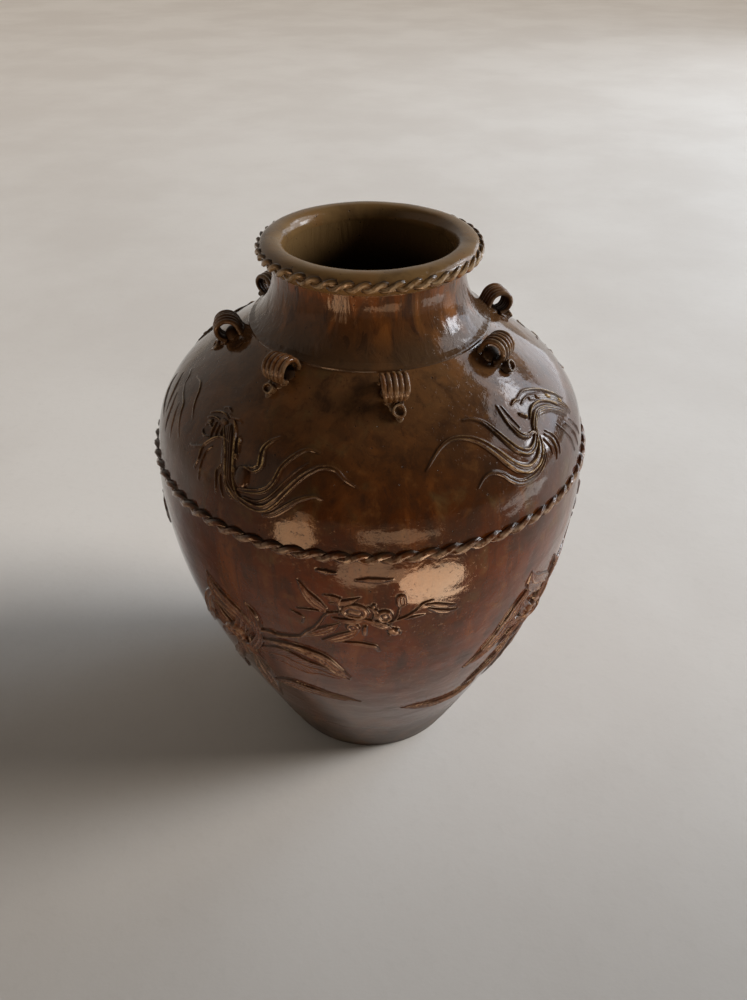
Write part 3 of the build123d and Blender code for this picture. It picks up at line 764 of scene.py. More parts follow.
# ------------------------------------------------------------------------------------------------ lugs and pellets
def tube(path, ra, rb, frame_x, sides=14):
    """Closed tube along a path. ra is its radius along frame_x, rb across it; both may vary."""
    path = np.asarray(path, float)
    n = len(path)
    t = np.gradient(path, axis=0)
    t /= np.linalg.norm(t, axis=1)[:, None]
    x = np.broadcast_to(np.asarray(frame_x, float), path.shape).copy()
    x -= np.einsum("ij,ij->i", x, t)[:, None] * t
    x /= np.linalg.norm(x, axis=1)[:, None]
    y = np.cross(t, x)
    q = np.arange(sides) * 2 * np.pi / sides
    ra, rb = np.broadcast_to(ra, n), np.broadcast_to(rb, n)
    v = path[:, None, :] + ra[:, None, None] * np.cos(q)[None, :, None] * x[:, None, :] + rb[:, None, None] * np.sin(q)[None, :, None] * y[:, None, :]
    v = v.reshape(-1, 3)
    i = np.arange(n - 1)[:, None] * sides
    j = np.arange(sides)[None, :]
    j2 = (j + 1) % sides
    f = np.stack([i + j, i + j2, i + sides + j2, i + sides + j], -1).reshape(-1, 4)
    v = np.vstack([v, path[:1], path[-1:]])
    jj = np.arange(sides)
    c0 = np.stack([np.full(sides, n * sides), (jj + 1) % sides, jj], -1)
    c1 = np.stack([np.full(sides, n * sides + 1), (n - 1) * sides + jj, (n - 1) * sides + (jj + 1) % sides], -1)
    return v, outward(v, [f, c0, c1])


def ball(centre, radii, axes=np.eye(3), n=14):
    """Ellipsoid lump."""
    th = np.linspace(0.02, np.pi - 0.02, n)
    ph = np.arange(2 * n) * np.pi / n
    T, P = np.meshgrid(th, ph, indexing="ij")
    d = np.stack([np.sin(T) * np.cos(P), np.sin(T) * np.sin(P), np.cos(T)], -1).reshape(-1, 3) * np.asarray(radii)
    v = d @ np.asarray(axes) + np.asarray(centre)
    m = 2 * n
    i = np.arange(n - 1)[:, None] * m
    j = np.arange(m)[None, :]
    j2 = (j + 1) % m
    f = np.stack([i + j, i + j2, i + m + j2, i + m + j], -1).reshape(-1, 4)
    top = np.arange(m)[::-1][None, :]
    v = np.vstack([v, v[:m].mean(0), v[(n - 1) * m : n * m].mean(0)])
    jj = np.arange(m)
    c0 = np.stack([np.full(m, n * m), (jj + 1) % m, jj], -1)
    c1 = np.stack([np.full(m, n * m + 1), (n - 1) * m + jj, (n - 1) * m + (jj + 1) % m], -1)
    return v, outward(v, [f, c0, c1])


def turned_solid(profile, origin, axis, side, sides=40, wobble=None):
    """Closed solid of revolution about axis: profile is (radius, height) from the bottom centre to the top centre."""
    axis = np.asarray(axis, float) / np.linalg.norm(axis)
    x = np.asarray(side, float) - np.dot(side, axis) * axis
    x /= np.linalg.norm(x)
    y = np.cross(axis, x)
    prof = np.asarray(profile, float)
    q = np.arange(sides) * 2 * np.pi / sides
    r = prof[:, 0][:, None] * (np.ones(sides)[None, :] if wobble is None else wobble(q)[None, :])
    v = np.asarray(origin) + r[..., None] * (np.cos(q)[None, :, None] * x + np.sin(q)[None, :, None] * y) + prof[:, 1][:, None, None] * axis
    v = v.reshape(-1, 3)
    n = len(prof)
    i = np.arange(n - 1)[:, None] * sides
    j = np.arange(sides)[None, :]
    j2 = (j + 1) % sides
    f = np.stack([i + j, i + j2, i + sides + j2, i + sides + j], -1).reshape(-1, 4)
    v = np.vstack([v, v[:sides].mean(0), v[(n - 1) * sides : n * sides].mean(0)])
    jj = np.arange(sides)
    c0 = np.stack([np.full(sides, n * sides), (jj + 1) % sides, jj], -1)
    c1 = np.stack([np.full(sides, n * sides + 1), (n - 1) * sides + jj, (n - 1) * sides + (jj + 1) % sides], -1)
    return v, outward(v, [f, c0, c1])


def keep_largest(me):
    """Takes out the tiny closed bubbles that a remesh can leave inside a piece."""
    bm = bmesh.new()
    bm.from_mesh(me)
    seen, groups = set(), []
    for v in bm.verts:
        if v.index in seen:
            continue
        seen.add(v.index)
        stack, group = [v], []
        while stack:
            w = stack.pop()
            group.append(w)
            for e in w.link_edges:
                o = e.other_vert(w)
                if o.index not in seen:
                    seen.add(o.index)
                    stack.append(o)
        groups.append(group)
    if len(groups) > 1:
        groups.sort(key=len)
        bmesh.ops.delete(bm, geom=[v for group in groups[:-1] for v in group], context="VERTS")
        bm.to_mesh(me)
    bm.free()


def fused(name, parts, voxel, smooth):
    """One closed skin round overlapping closed parts, melted a little as glazed clay is."""
    vs, fs, n = [], {3: [], 4: []}, 0
    for v, faces in parts:
        vs.append(v)
        for f in faces if isinstance(faces, list) else [faces]:
            fs[f.shape[1]].append(np.asarray(f) + n)
        n += len(v)
    tmp = make_object("tmp_" + name, np.vstack(vs), [np.vstack(f) for f in fs.values() if f])
    rm = tmp.modifiers.new("remesh", "REMESH")
    rm.mode = "VOXEL"
    rm.voxel_size = voxel * 0.001
    rm.use_smooth_shade = True
    sm = tmp.modifiers.new("smooth", "SMOOTH")
    sm.factor = 0.5
    sm.iterations = smooth
    dg = bpy.context.evaluated_depsgraph_get()
    dg.update()
    me = bpy.data.meshes.new_from_object(tmp.evaluated_get(dg))
    me.name = name
    old = tmp.data
    bpy.data.objects.remove(tmp)
    bpy.data.meshes.remove(old)
    keep_largest(me)
    me.polygons.foreach_set("use_smooth", np.ones(len(me.polygons), dtype=bool))
    ob = bpy.data.objects.new(name, me)
    scene.collection.objects.link(ob)
    return ob


LUGS = [
    (-22.2, 545.0), (22.2, 541.0), (69.9, 546.0), (118.8, 545.0), (160.5, 544.0), (202.0, 543.0), (243.0, 540.0), (294.8, 544.8),
]
LUG_LIFT = (8.4, 10.0, 10.6, 10.2, 9.4, 9.2, 8.8, 9.2)  # middle of the ring above the wall
PELLET_SIDE = (-3.0, 2.5, 3.0, 0.6, -1.2, 1.0, -1.5, 0.2)


def local_frame(azimuth, z):
    """Point on the wall, tangent, uphill and normal, in mm."""
    a = math.radians(azimuth)
    p, n = on_surface(np.array([a]), np.array([z]))
    p, n = p[0], n[0]
    t = np.array([math.cos(a), math.sin(a), 0.0])
    up = np.cross(n, t)
    return p, t, up, n


def smoothstep(x, a, b):
    q = np.clip((np.asarray(x, float) - a) / (b - a), 0, 1)
    return q * q * (3 - 2 * q)


# two lugs sit a few millimetres further round than the drawing
SEEN = {3: (2.8, -2.5), 8: (-3.7, -4.0)}


def build_lug(i, azimuth, z):
    rng = np.random.default_rng(100 + i)
    p, t, up, n = local_frame(azimuth, z + 2.3)
    m = np.array([t, up, n])
    lift, mid = LUG_LIFT[i - 1], 11.9
    parts = []
    lean = rng.uniform(-0.5, 0.5)
    for k in range(5):
        th = np.radians(np.linspace(-136, 152, 50))
        conv = 1.0 - 0.27 * smoothstep(-th, math.radians(25), math.radians(125))
        mid_k = mid + rng.uniform(-0.25, 0.25) - 0.30 * abs(k - 2)
        x = (k - 2) * 5.2 * conv + lean * np.sin(th) + rng.uniform(-0.15, 0.15)
        y = mid_k * np.sin(th) + 3.0 * smoothstep(th, math.radians(108), math.radians(150))
        h = lift + mid_k * np.cos(th)
        path = np.stack([x, y, h], -1)
        ra = 2.52 * (0.80 + 0.20 * conv) + rng.uniform(-0.10, 0.10)
        rb = np.full_like(th, 2.65)
        v, f = tube(path, ra, rb, (1, 0, 0), 16)
        parts.append((v @ m + p, f))
    # the ends of the coils are pressed into a pad that narrows down the wall
    side = PELLET_SIDE[i - 1]
    v, f = ball((0.0, -10.4, 0.9), (9.8, 3.8, 2.6))
    parts.append((v @ m + p, f))
    v, f = ball((side * 0.5, -13.6, 0.4), (7.4, 4.6, 2.2))
    parts.append((v @ m + p, f))
    # uphill foot of the strap
    v, f = ball((0.0, 10.2, -0.4), (11.2, 3.4, 1.7))
    parts.append((v @ m + p, f))
    # a swell of clay and pooled glaze under the arch, higher under the two lugs that are seen from the side
    v, f = ball((0.0, 0.2, -0.9), (11.2, 8.4, 9.2) if i in SEEN else (11.2, 8.7, 5.4))
    parts.append((v @ m + p, f))
    ob = fused(f"lug_{i}_ribbed", parts, 0.44, 2)
    c = convexity(ob, 14, 0.55)
    co = np.empty(len(ob.data.vertices) * 3)
    ob.data.vertices.foreach_get("co", co)
    q = (co.reshape(-1, 3) * 1000 - p) @ m.T
    under = smoothstep(-np.hypot(q[:, 1], q[:, 2] - lift), -9.5, -8.9)
    # crests take the lighter tone, partly painted highlight; hollows are darkened with pooled glaze and painted shade,
    # and the wall under the arch with painted shade
    set_attr(ob, "relief", np.clip(0.35 + 0.75 * c, 0, 1) * (1 - under))
    set_attr(ob, "pooled_glaze_and_shade", np.clip(np.maximum(-c * 1.3 - 0.05, under * (0.62 if i in SEEN else 1.0)), 0, 1))
    set_attr(ob, "under", under)
    return ob


def build_pellet(i, azimuth, z):
    rng = np.random.default_rng(200 + i)
    p, t, up, n = local_frame(azimuth, z + 2.3)
    out = np.array([p[0], p[1], 0.0])
    out /= np.linalg.norm(out)
    lean = n * 0.62 + out * 0.38
    lean /= np.linalg.norm(lean)
    shift = PELLET_SIDE[i - 1]
    foot = p - up * 17.3 - n * (5.0 if i != 8 else 9.6) + t * shift
    prof = [
        (0.4, -1.0), (4.5, -0.8), (6.6, 0.0), (6.9, 2.5), (6.5, 5.5), (6.1, 8.5), (6.2, 10.6), (6.55, 12.0), (6.45, 13.0),
        (5.9, 13.6), (5.1, 13.7), (4.4, 13.3), (4.0, 12.4), (3.8, 11.2), (3.3, 10.4), (2.0, 10.0), (0.4, 9.9),
    ]
    if i == 1:
        prof = [(r * 0.84, h) for r, h in prof]
    a1, a2 = rng.uniform(0, 6.28, 2)
    wob = lambda q: 1 + 0.035 * np.cos(2 * q + a1) + 0.03 * np.cos(3 * q + a2)
    parts = [turned_solid(prof, foot, lean, t, 44, wob)]
    side = -1.0 if i % 3 else 1.0
    v, f = ball((0, 0, 0), (3.6, 6.0, 2.2))
    m = np.array([t, up, n])
    parts.append((v @ m + p - up * 15.0 + t * (shift + side * 4.4) + n * 0.6, f))
    # a tapering smear under the pellet
    v, f = ball((0, 0, 0), (4.2, 8.0, 2.0))
    parts.append((v @ m + p - up * 22.6 + t * shift * 1.2 - n * 0.3, f))
    ob = fused(f"pellet_{i}_pressed", parts, 0.40, 2)
    c = convexity(ob, 12, 0.5)
    # crests take the lighter tone, partly painted highlight; hollows the dark tone, partly painted shade
    set_attr(ob, "relief", np.clip(0.45 + 0.7 * c, 0, 1))
    set_attr(ob, "pooled_glaze_and_shade", np.clip(-c * 1.2 - 0.1, 0, 1))
    return ob


for i, (azimuth, z) in enumerate(LUGS, 1):
    azimuth, z = azimuth + SEEN.get(i, (0, 0))[0], z + SEEN.get(i, (0, 0))[1]
    piece(build_lug(i, azimuth, z), f"lug_{i}", mat_lug)
    piece(build_pellet(i, azimuth, z), f"pellet_{i}", mat_lug)


# ------------------------------------------------------------------------------------------------ applied work
def curve_points(pts, step=0.45):
    """Dense samples of a smooth line through (azimuth, height) points: positions on the wall, tangents, side vectors and 0..1."""
    p = np.array(pts, float)
    if len(p) == 2:
        p = np.array([p[0], (p[0] * 2 + p[1]) / 3, (p[0] + p[1] * 2) / 3, p[1]])
    q = np.vstack([2 * p[0] - p[1], p, 2 * p[-1] - p[-2]])
    out = []
    for i in range(1, len(q) - 2):
        a, b, c, d = q[i - 1], q[i], q[i + 1], q[i + 2]
        seg = np.hypot((c[0] - b[0]) * 3.6, c[1] - b[1]) + 1.0
        for t in np.arange(0, 1, min(0.5, step / seg)):
            out.append(0.5 * (2 * b + (c - a) * t + (2 * a - 5 * b + 4 * c - d) * t**2 + (3 * b - a - 3 * c + d) * t**3))
    out.append(p[-1])
    out = np.array(out)
    a, z = np.radians(out[:, 0]), out[:, 1]
    r, s = radius(z), slope(z)
    k = np.hypot(1, s)
    pos = np.stack([r * np.sin(a), -r * np.cos(a), z], -1)
    nor = np.stack([np.sin(a) / k, -np.cos(a) / k, -s / k], -1)
    tan = np.gradient(pos, axis=0)
    tan /= np.linalg.norm(tan, axis=1)[:, None] + 1e-9
    side = np.cross(nor, tan)
    seg = np.linalg.norm(np.diff(pos, axis=0), axis=1)
    u = np.concatenate([[0], np.cumsum(seg)])
    return out, pos, tan, side, u / u[-1], u[-1]


def along(values, u):
    v = np.atleast_1d(np.asarray(values, float))
    if len(v) == 1:
        return np.full_like(u, v[0])
    return np.interp(u, np.linspace(0, 1, len(v)), v)


HALO = 2.6


def sprig(name, strokes, turn=0.0, seed=0, step=0.8, wiggle=0.5, dark=1.0):
    """Clay pressed on the wall. Each stroke is (kind, points, half widths, heights) and the strokes melt together."""
    rng = np.random.default_rng(seed)
    pre = []
    for st in strokes:
        kind, pts, wid, hei = st[:4]
        pts = np.array(pts, float)
        if wiggle and turn:
            pts = pts + np.stack([rng.normal(0, wiggle * 0.28, len(pts)), rng.normal(0, wiggle, len(pts))], -1)
        raw, pos, tan, side, u, length = curve_points(pts)
        pre.append((kind, raw, pos, tan, side, u, length, along(wid, u), along(hei, u), rng.uniform(0, 100)))
    reach = max(p[7].max() for p in pre) + HALO + 3.0
    az0 = min(p[1][:, 0].min() for p in pre)
    az1 = max(p[1][:, 0].max() for p in pre)
    z0 = min(p[1][:, 1].min() for p in pre)
    z1 = max(p[1][:, 1].max() for p in pre)
    s0, s1 = arc(z0) - reach, arc(z1) + reach
    r_mean = float(radius(0.5 * (z0 + z1)))
    pad = math.degrees(reach / float(min(radius(z0), radius(z1))))
    a0, a1 = math.radians(az0 - pad), math.radians(az1 + pad)
    na = int((a1 - a0) * r_mean / step) + 2
    ns = int((s1 - s0) / step) + 2
    ga = np.linspace(a0, a1, na)
    gz = arc_to_z(np.linspace(s0, s1, ns))
    A, Z = np.meshgrid(ga, gz)
    A, Z = A.ravel(), Z.ravel()
    r = radius(Z)
    G = np.stack([r * np.sin(A), -r * np.cos(A), Z], -1)
    H = np.zeros(len(G))
    E = np.full(len(G), 1e3)
    groove = np.zeros(len(G))
    for kind, raw, pos, tan, side, u, length, wid, hei, ph in pre:
        m = reach
        lo, hi = pos.min(0) - m, pos.max(0) + m
        idx = np.where(np.all((G > lo) & (G < hi), axis=1))[0]
        if len(idx) == 0:
            continue
        P = G[idx]
        best = np.full(len(P), 1e9)
        kk = np.zeros(len(P), int)
        for c in range(0, len(pos), 200):
            Q = pos[c : c + 200]
            d2 = (P**2).sum(1)[:, None] - 2 * P @ Q.T + (Q**2).sum(1)[None, :]
            # nearest sample of the stroke, by plain distance
            j = d2.argmin(1)
            v = d2[np.arange(len(P)), j]
            better = v < best
            best[better] = v[better]
            kk[better] = j[better] + c
        d = np.sqrt(np.maximum(best, 0))
        w, h, uu = wid[kk], hei[kk], u[kk]
        lat = np.einsum("ij,ij->i", P - pos[kk], side[kk])
        rho = d / w
        sr = np.sign(lat) * np.minimum(rho, 4)
        e = d - w
        inside = np.clip(1 - rho, 0, 1)
        if kind == "coil":
            f = np.clip(1 - rho**2, 0, 1) ** 0.62
            gr = np.zeros_like(f)
        elif kind == "feather":
            edge = np.exp(-(((np.abs(sr) - 0.66) / 0.20) ** 2))
            body = np.clip(1 - rho**4, 0, 1) ** 0.75
            thick = smoothstep(w, 1.3, 2.6)
            mid = np.exp(-((sr / 0.34) ** 2)) * thick
            line = np.exp(-(((sr - 0.05) / 0.13) ** 2)) * smoothstep(w, 2.9, 4.0)
            f = body * (0.60 + 0.48 * edge * thick + 0.35 * (1 - thick) - 0.26 * mid + 0.30 * line)
            gr = np.clip(mid - 0.9 * line, 0, 1) * body * 0.9
        elif kind == "leaf":
            t = np.clip((w - d) / np.minimum(1.5, 0.75 * w), 0, 1)
            body = t * (2 - t)
            rib = np.exp(-((lat / 0.85) ** 2)) * smoothstep(w, 2.0, 4.0)
            veins = 0.5 + 0.5 * np.cos((uu * length - 1.1 * np.abs(lat)) * 2 * np.pi / 5.2)
            veins = veins**3 * smoothstep(np.abs(lat), 0.9, 2.2) * smoothstep(w - d, 1.6, 3.0) * smoothstep(w, 3.5, 5.5)
            rim_l = np.exp(-((((w - d) - 1.25) / 0.75) ** 2)) * smoothstep(w, 1.6, 2.6)
            f = body * (0.60 + 0.32 * rim_l + 0.32 * rib - 0.10 * veins + 0.25 * (1 - smoothstep(w, 1.2, 2.6)))
            gr = np.maximum(np.clip(veins * 0.30, 0, 1), 0.8 * np.exp(-(((w - d) / 0.55) ** 2)))
        elif kind == "dome":
            f = np.clip(1 - rho**2, 0, 1) ** 0.5
            gr = np.zeros_like(f)
        elif kind == "boss":
            f = np.clip(1 - rho**2.4, 0, 1) ** 0.55
            gr = 0.95 * np.clip(1.3 - rho, 0, 1)
        elif kind == "ring":
            f = np.clip(1 - rho**4, 0, 1) ** 0.7 * (0.35 + 0.65 * np.exp(-(((rho - 0.68) / 0.22) ** 2)) + 0.45 * np.exp(-((rho / 0.28) ** 2)))
            gr = np.exp(-(((rho - 0.36) / 0.14) ** 2))
        elif kind == "combed":
            body = np.clip(1 - rho**2, 0, 1) ** 0.6
            lines = 0.5 + 0.5 * np.cos((lat + 0.45 * np.sin(uu * length / 5.5 + ph)) * 2 * np.pi / 2.1 + ph)
            f = body * (0.62 + 0.38 * lines)
            gr = (1 - lines) * body
        else:
            f = np.clip(1 - rho**2, 0, 1)
            gr = np.zeros_like(f)
        hh = h * f
        # strokes melt into one another
        a, b = H[idx], hh
        kq = 0.45
        q = np.clip(0.5 + 0.5 * (a - b) / kq, 0, 1)
        blend = b * (1 - q) + a * q + kq * q * (1 - q) * (np.minimum(a, b) > 0.02)
        groove[idx] = np.where(b > a, gr, groove[idx])
        H[idx] = blend
        E[idx] = np.minimum(E[idx], e)
    # finger marks and glaze on the clay
    jit = lattice(seed + 500, 150, 90)
    H = H * (1 + 0.13 * jit(A, Z / HEIGHT)) + 0.10
    out_e = np.maximum(E, 0)
    fade = smoothstep(out_e, 0.0, HALO * 0.85)
    H = np.where(E > 0, 0.10 * (1 - fade) - 0.42 * smoothstep(out_e, HALO * 0.55, HALO * 1.15), H)
    keep = (E < HALO * 1.1).reshape(ns, na)
    quad_keep = keep[:-1, :-1] & keep[1:, :-1] & keep[:-1, 1:] & keep[1:, 1:]
    A2 = A + math.radians(turn)
    top, _ = on_surface(A2, Z, H)
    low, _ = on_surface(A2, Z, -1.3)
    i, j = np.nonzero(quad_keep)
    q0 = i * na + j
    quads = np.stack([q0, q0 + 1, q0 + na + 1, q0 + na], -1)
    used = np.unique(quads)
    remap = np.full(ns * na, -1)
    remap[used] = np.arange(len(used))
    quads = remap[quads]
    # open edges of the sheet
    e = np.vstack([quads[:, [0, 1]], quads[:, [1, 2]], quads[:, [2, 3]], quads[:, [3, 0]]])
    key = np.sort(e, axis=1)
    _, inv, cnt = np.unique(key, axis=0, return_inverse=True, return_counts=True)
    rim_e = e[cnt[inv.ravel()] == 1]
    n = len(used)
    v = np.vstack([top[used], low[used]])
    wall = np.stack([rim_e[:, 1], rim_e[:, 0], rim_e[:, 0] + n, rim_e[:, 1] + n], -1)
    faces = np.vstack([quads, quads[:, ::-1] + n, wall])
    if signed_volume(v, faces) < 0:
        faces = faces[:, ::-1]
    ob = make_object(name, v, faces)
    hmax = max(1.2, float(np.percentile(H[used], 97)))
    # raised clay takes the lighter tone, partly painted highlight; the dark halo round its edge and in its grooves is
    # partly pooled glaze, partly painted shade, scaled by dark
    relief = np.clip(H[used] / hmax, 0, 1) * (1 - 0.8 * groove[used])
    pooled_glaze_and_shade = np.exp(-((np.clip(E[used] + 0.1, -9, 9) / 1.05) ** 2)) * 0.9
    pooled_glaze_and_shade = np.maximum(pooled_glaze_and_shade * dark, groove[used] * 0.75)
    pad0 = np.zeros(n)
    set_attr(ob, "relief", np.concatenate([relief, pad0]))
    set_attr(ob, "pooled_glaze_and_shade", np.concatenate([pooled_glaze_and_shade, pad0]))
    return ob


# shoulder birds, (azimuth, height)
TAIL_L = [
    ("feather", [(-17.9, 488.5), (-16.2, 489.1), (-14.95, 493.2), (-15.4, 499.1), (-15.6, 504.0), (-14.5, 508.9), (-12.4, 513.0)], [2.2, 3.2, 3.4, 3.1, 2.7, 2.1, 1.0], [2.6, 3.6, 3.8, 3.4, 3.0, 2.3, 1.0]),
    ("feather", [(-19.0, 470.6), (-15.8, 472.6), (-13.3, 475.2), (-11.2, 479.9), (-9.9, 487.3), (-9.1, 495.6), (-7.4, 502.0), (-4.9, 507.4), (-2.8, 509.4), (0.1, 508.6)], [1.9, 2.5, 2.7, 2.6, 2.5, 2.4, 2.3, 2.1, 1.7, 1.0], [2.2, 2.8, 3.0, 3.0, 2.9, 2.7, 2.5, 2.2, 1.7, 0.8]),
    ("feather", [(-18.6, 463.6), (-14.5, 460.6), (-11.6, 462.1), (-9.1, 469.2), (-6.6, 479.9), (-4.1, 489.7), (-1.6, 496.1), (1.3, 500.1), (5.0, 499.6), (7.8, 493.6), (10.7, 488.6)], [2.6, 3.5, 3.8, 3.6, 3.3, 3.0, 2.7, 2.4, 2.0, 1.5, 0.8], [2.5, 3.1, 3.3, 3.2, 3.0, 2.8, 2.6, 2.3, 2.0, 1.5, 0.6]),
    ("coil", [(-17.4, 466.0), (-14.0, 466.2), (-11.4, 470.6), (-9.2, 478.6), (-7.0, 488.4), (-4.8, 496.0), (-2.2, 501.6)], [0.9, 1.2, 1.2, 1.1, 1.0, 0.9, 0.6], [1.4, 2.0, 2.0, 1.8, 1.6, 1.3, 0.7]),
    ("feather", [(-11.4, 455.6), (-8.7, 460.6), (-6.2, 467.9), (-3.7, 474.5), (-1.2, 478.5), (0.9, 480.1), (2.6, 478.5)], [1.5, 2.1, 2.2, 2.1, 1.9, 1.6, 0.8], [1.5, 2.2, 2.4, 2.3, 2.0, 1.6, 0.7]),
]
BIRD_L = [
    ("coil", [(-20.8, 486.6), (-19.0, 488.4), (-17.4, 488.0)], [0.7, 1.1, 0.9], [1.6, 2.4, 2.0]),
    ("combed", [(-29.6, 506.5), (-27.4, 499.5), (-25.9, 491.5), (-24.4, 482.0), (-23.0, 473.0), (-20.9, 466.0), (-17.8, 461.4)], [4.6, 6.6, 6.4, 6.0, 5.4, 4.4, 3.0], [2.0, 2.6, 2.7, 2.6, 2.5, 2.3, 1.8]),
    ("coil", [(-29.1, 511.9), (-26.6, 507.0), (-25.0, 501.1), (-23.3, 492.0), (-22.0, 482.5), (-20.8, 474.5), (-19.1, 466.9), (-16.6, 462.6)], [0.9, 1.2, 1.3, 1.2, 1.2, 1.2, 1.1, 0.8], [2.4, 3.3, 3.5, 3.5, 3.4, 3.3, 2.9, 1.8]),
    ("coil", [(-31.2, 506.0), (-28.3, 499.1), (-26.2, 492.0), (-25.0, 485.0), (-23.7, 477.2), (-22.5, 470.5), (-20.0, 463.5), (-17.5, 459.9)], [0.8, 1.1, 1.1, 1.1, 1.1, 1.1, 1.0, 0.8], [2.2, 3.2, 3.3, 3.3, 3.2, 3.0, 2.7, 1.8]),
    ("coil", [(-24.6, 505.0), (-23.4, 500.6), (-22.4, 495.8)], [0.9, 1.2, 0.8], [1.6, 2.6, 1.4]),
    ("dome", [(-23.9, 503.6), (-23.5, 502.4)], [1.6, 1.6], [2.8, 2.8]),
    ("dome", [(-22.9, 493.6), (-22.6, 492.0)], [1.5, 1.5], [3.2, 3.2]),
    ("dome", [(-22.1, 484.6), (-21.9, 483.0)], [1.5, 1.5], [3.4, 3.4]),
    ("coil", [(-26.2, 483.8), (-27.05, 477.2), (-26.4, 469.2), (-25.8, 459.1)], [0.8, 1.1, 1.0, 0.7], [1.6, 2.2, 2.0, 0.9]),
    ("coil", [(-25.2, 481.2), (-25.4, 474.5), (-24.5, 466.5), (-23.3, 457.7)], [0.8, 1.1, 1.0, 0.7], [1.8, 2.4, 2.1, 0.9]),
    ("coil", [(-24.1, 479.9), (-23.7, 473.2), (-22.5, 466.5), (-20.8, 460.0)], [0.8, 1.0, 1.0, 0.7], [2.2, 2.6, 2.3, 1.2]),
    ("boss", [(-19.2, 482.4), (-19.0, 478.6)], [8.2, 8.2], [2.8, 2.8]),
    ("coil", [(-21.6, 484.8), (-21.2, 479.9), (-20.0, 475.9), (-18.3, 473.6)], [0.6, 0.8, 0.8, 0.6], [2.0, 2.4, 2.4, 1.6]),
    ("coil", [(-21.6, 470.5), (-20.0, 466.5), (-19.1, 465.0)], [0.6, 0.8, 0.6], [1.6, 2.2, 1.6]),
    ("dome", [(-37.4, 503.6), (-36.6, 504.4)], [2.0, 2.2], [1.8, 2.2]),
    ("dome", [(-33.0, 508.4), (-31.6, 508.0)], [3.0, 3.2], [1.8, 2.0]),
    ("coil", [(-39.0, 508.2), (-36.8, 511.2), (-34.2, 512.6), (-31.6, 511.4)], [0.7, 1.1, 1.2, 0.8], [1.4, 2.4, 2.6, 1.6]),
    ("coil", [(-38.8, 505.2), (-36.6, 507.6), (-34.4, 507.8), (-32.6, 506.2)], [0.7, 1.0, 1.0, 0.7], [1.4, 2.4, 2.6, 1.6]),
    ("coil", [(-32.6, 513.8), (-30.4, 512.6), (-28.2, 513.4), (-26.4, 512.8)], [0.7, 1.0, 0.9, 0.6], [1.2, 2.2, 2.0, 0.9]),
    ("coil", [(-35.6, 515.4), (-34.0, 516.6), (-32.2, 515.6)], [0.6, 0.9, 0.6], [1.0, 1.8, 1.0]),
    ("coil", [(-34.6, 505.6), (-34.2, 500.6), (-33.6, 495.4)], [0.8, 1.1, 0.8], [2.0, 2.8, 1.6]),
    ("coil", [(-33.0, 505.4), (-32.5, 500.2), (-31.9, 497.4)], [0.8, 1.0, 0.7], [2.0, 2.6, 1.8]),
    ("coil", [(-31.4, 505.6), (-30.8, 501.2), (-29.8, 499.4)], [0.8, 1.0, 0.8], [2.0, 2.8, 2.2]),
    ("coil", [(-37.8, 500.6), (-36.6, 502.6), (-35.0, 501.6)], [0.7, 1.0, 0.8], [1.6, 2.4, 2.2]),
    ("coil", [(-37.9, 497.0), (-36.4, 494.4), (-34.4, 494.8)], [0.7, 1.1, 0.8], [1.4, 2.4, 1.8]),
    ("coil", [(-26.6, 499.6), (-29.1, 500.1), (-31.6, 497.9), (-33.7, 492.0), (-34.6, 486.1), (-34.4, 477.2), (-35.0, 467.9)], [0.9, 1.1, 1.2, 1.2, 1.1, 1.0, 0.6], [2.2, 2.5, 2.6, 2.6, 2.3, 2.0, 0.8]),
    ("coil", [(-31.6, 490.8), (-32.7, 485.0), (-32.9, 474.5), (-32.5, 460.6)], [0.7, 0.9, 0.9, 0.6], [1.3, 1.8, 1.7, 0.7]),
    ("coil", [(-39.6, 481.9), (-37.5, 483.2), (-35.0, 486.7)], [0.6, 0.9, 0.8], [1.0, 1.8, 1.8]),
]
TAIL_R = [
    ("feather", [(28.0, 497.3), (30.4, 503.8), (33.6, 509.9), (37.2, 512.6), (41.5, 511.1), (45.1, 506.2), (48.3, 497.3), (50.9, 487.0), (53.5, 479.2), (56.7, 475.0), (60.4, 477.5), (63.0, 485.5), (64.1, 492.9)], [0.9, 1.4, 1.8, 2.2, 2.7, 3.3, 3.8, 4.2, 4.6, 4.9, 4.9, 4.0, 2.6], [0.8, 1.4, 1.8, 2.1, 2.4, 2.7, 3.0, 3.2, 3.3, 3.4, 3.3, 3.0, 2.6]),
    ("feather", [(43.0, 521.0), (46.2, 519.9), (49.3, 515.4), (51.4, 507.4), (53.0, 500.1), (55.1, 492.2), (58.3, 487.0), (60.9, 488.5), (63.3, 493.6)], [0.9, 1.6, 2.1, 2.5, 2.9, 3.3, 3.7, 3.4, 2.4], [0.8, 1.7, 2.3, 2.7, 3.0, 3.2, 3.3, 3.2, 2.6]),
    ("feather", [(57.0, 521.0), (56.7, 514.8), (57.0, 507.4), (58.3, 500.1), (60.4, 496.6), (62.7, 496.6), (63.8, 494.4)], [0.8, 1.5, 1.9, 2.3, 2.5, 2.2, 1.6], [0.8, 1.8, 2.4, 2.8, 3.0, 2.9, 2.4]),
    ("coil", [(58.5, 519.3), (58.8, 512.4), (59.6, 504.2)], [0.6, 0.9, 0.8], [0.9, 1.7, 1.5]),
    ("feather", [(40.4, 477.5), (42.5, 483.3), (45.1, 484.8), (47.8, 480.9), (49.9, 474.2), (52.5, 468.4), (56.2, 466.7), (59.9, 469.2), (63.0, 475.9), (64.1, 484.1)], [0.8, 1.4, 1.8, 2.1, 2.4, 2.7, 2.9, 2.9, 2.6, 2.0], [0.7, 1.4, 1.9, 2.2, 2.4, 2.6, 2.8, 2.8, 2.6, 2.2]),
]


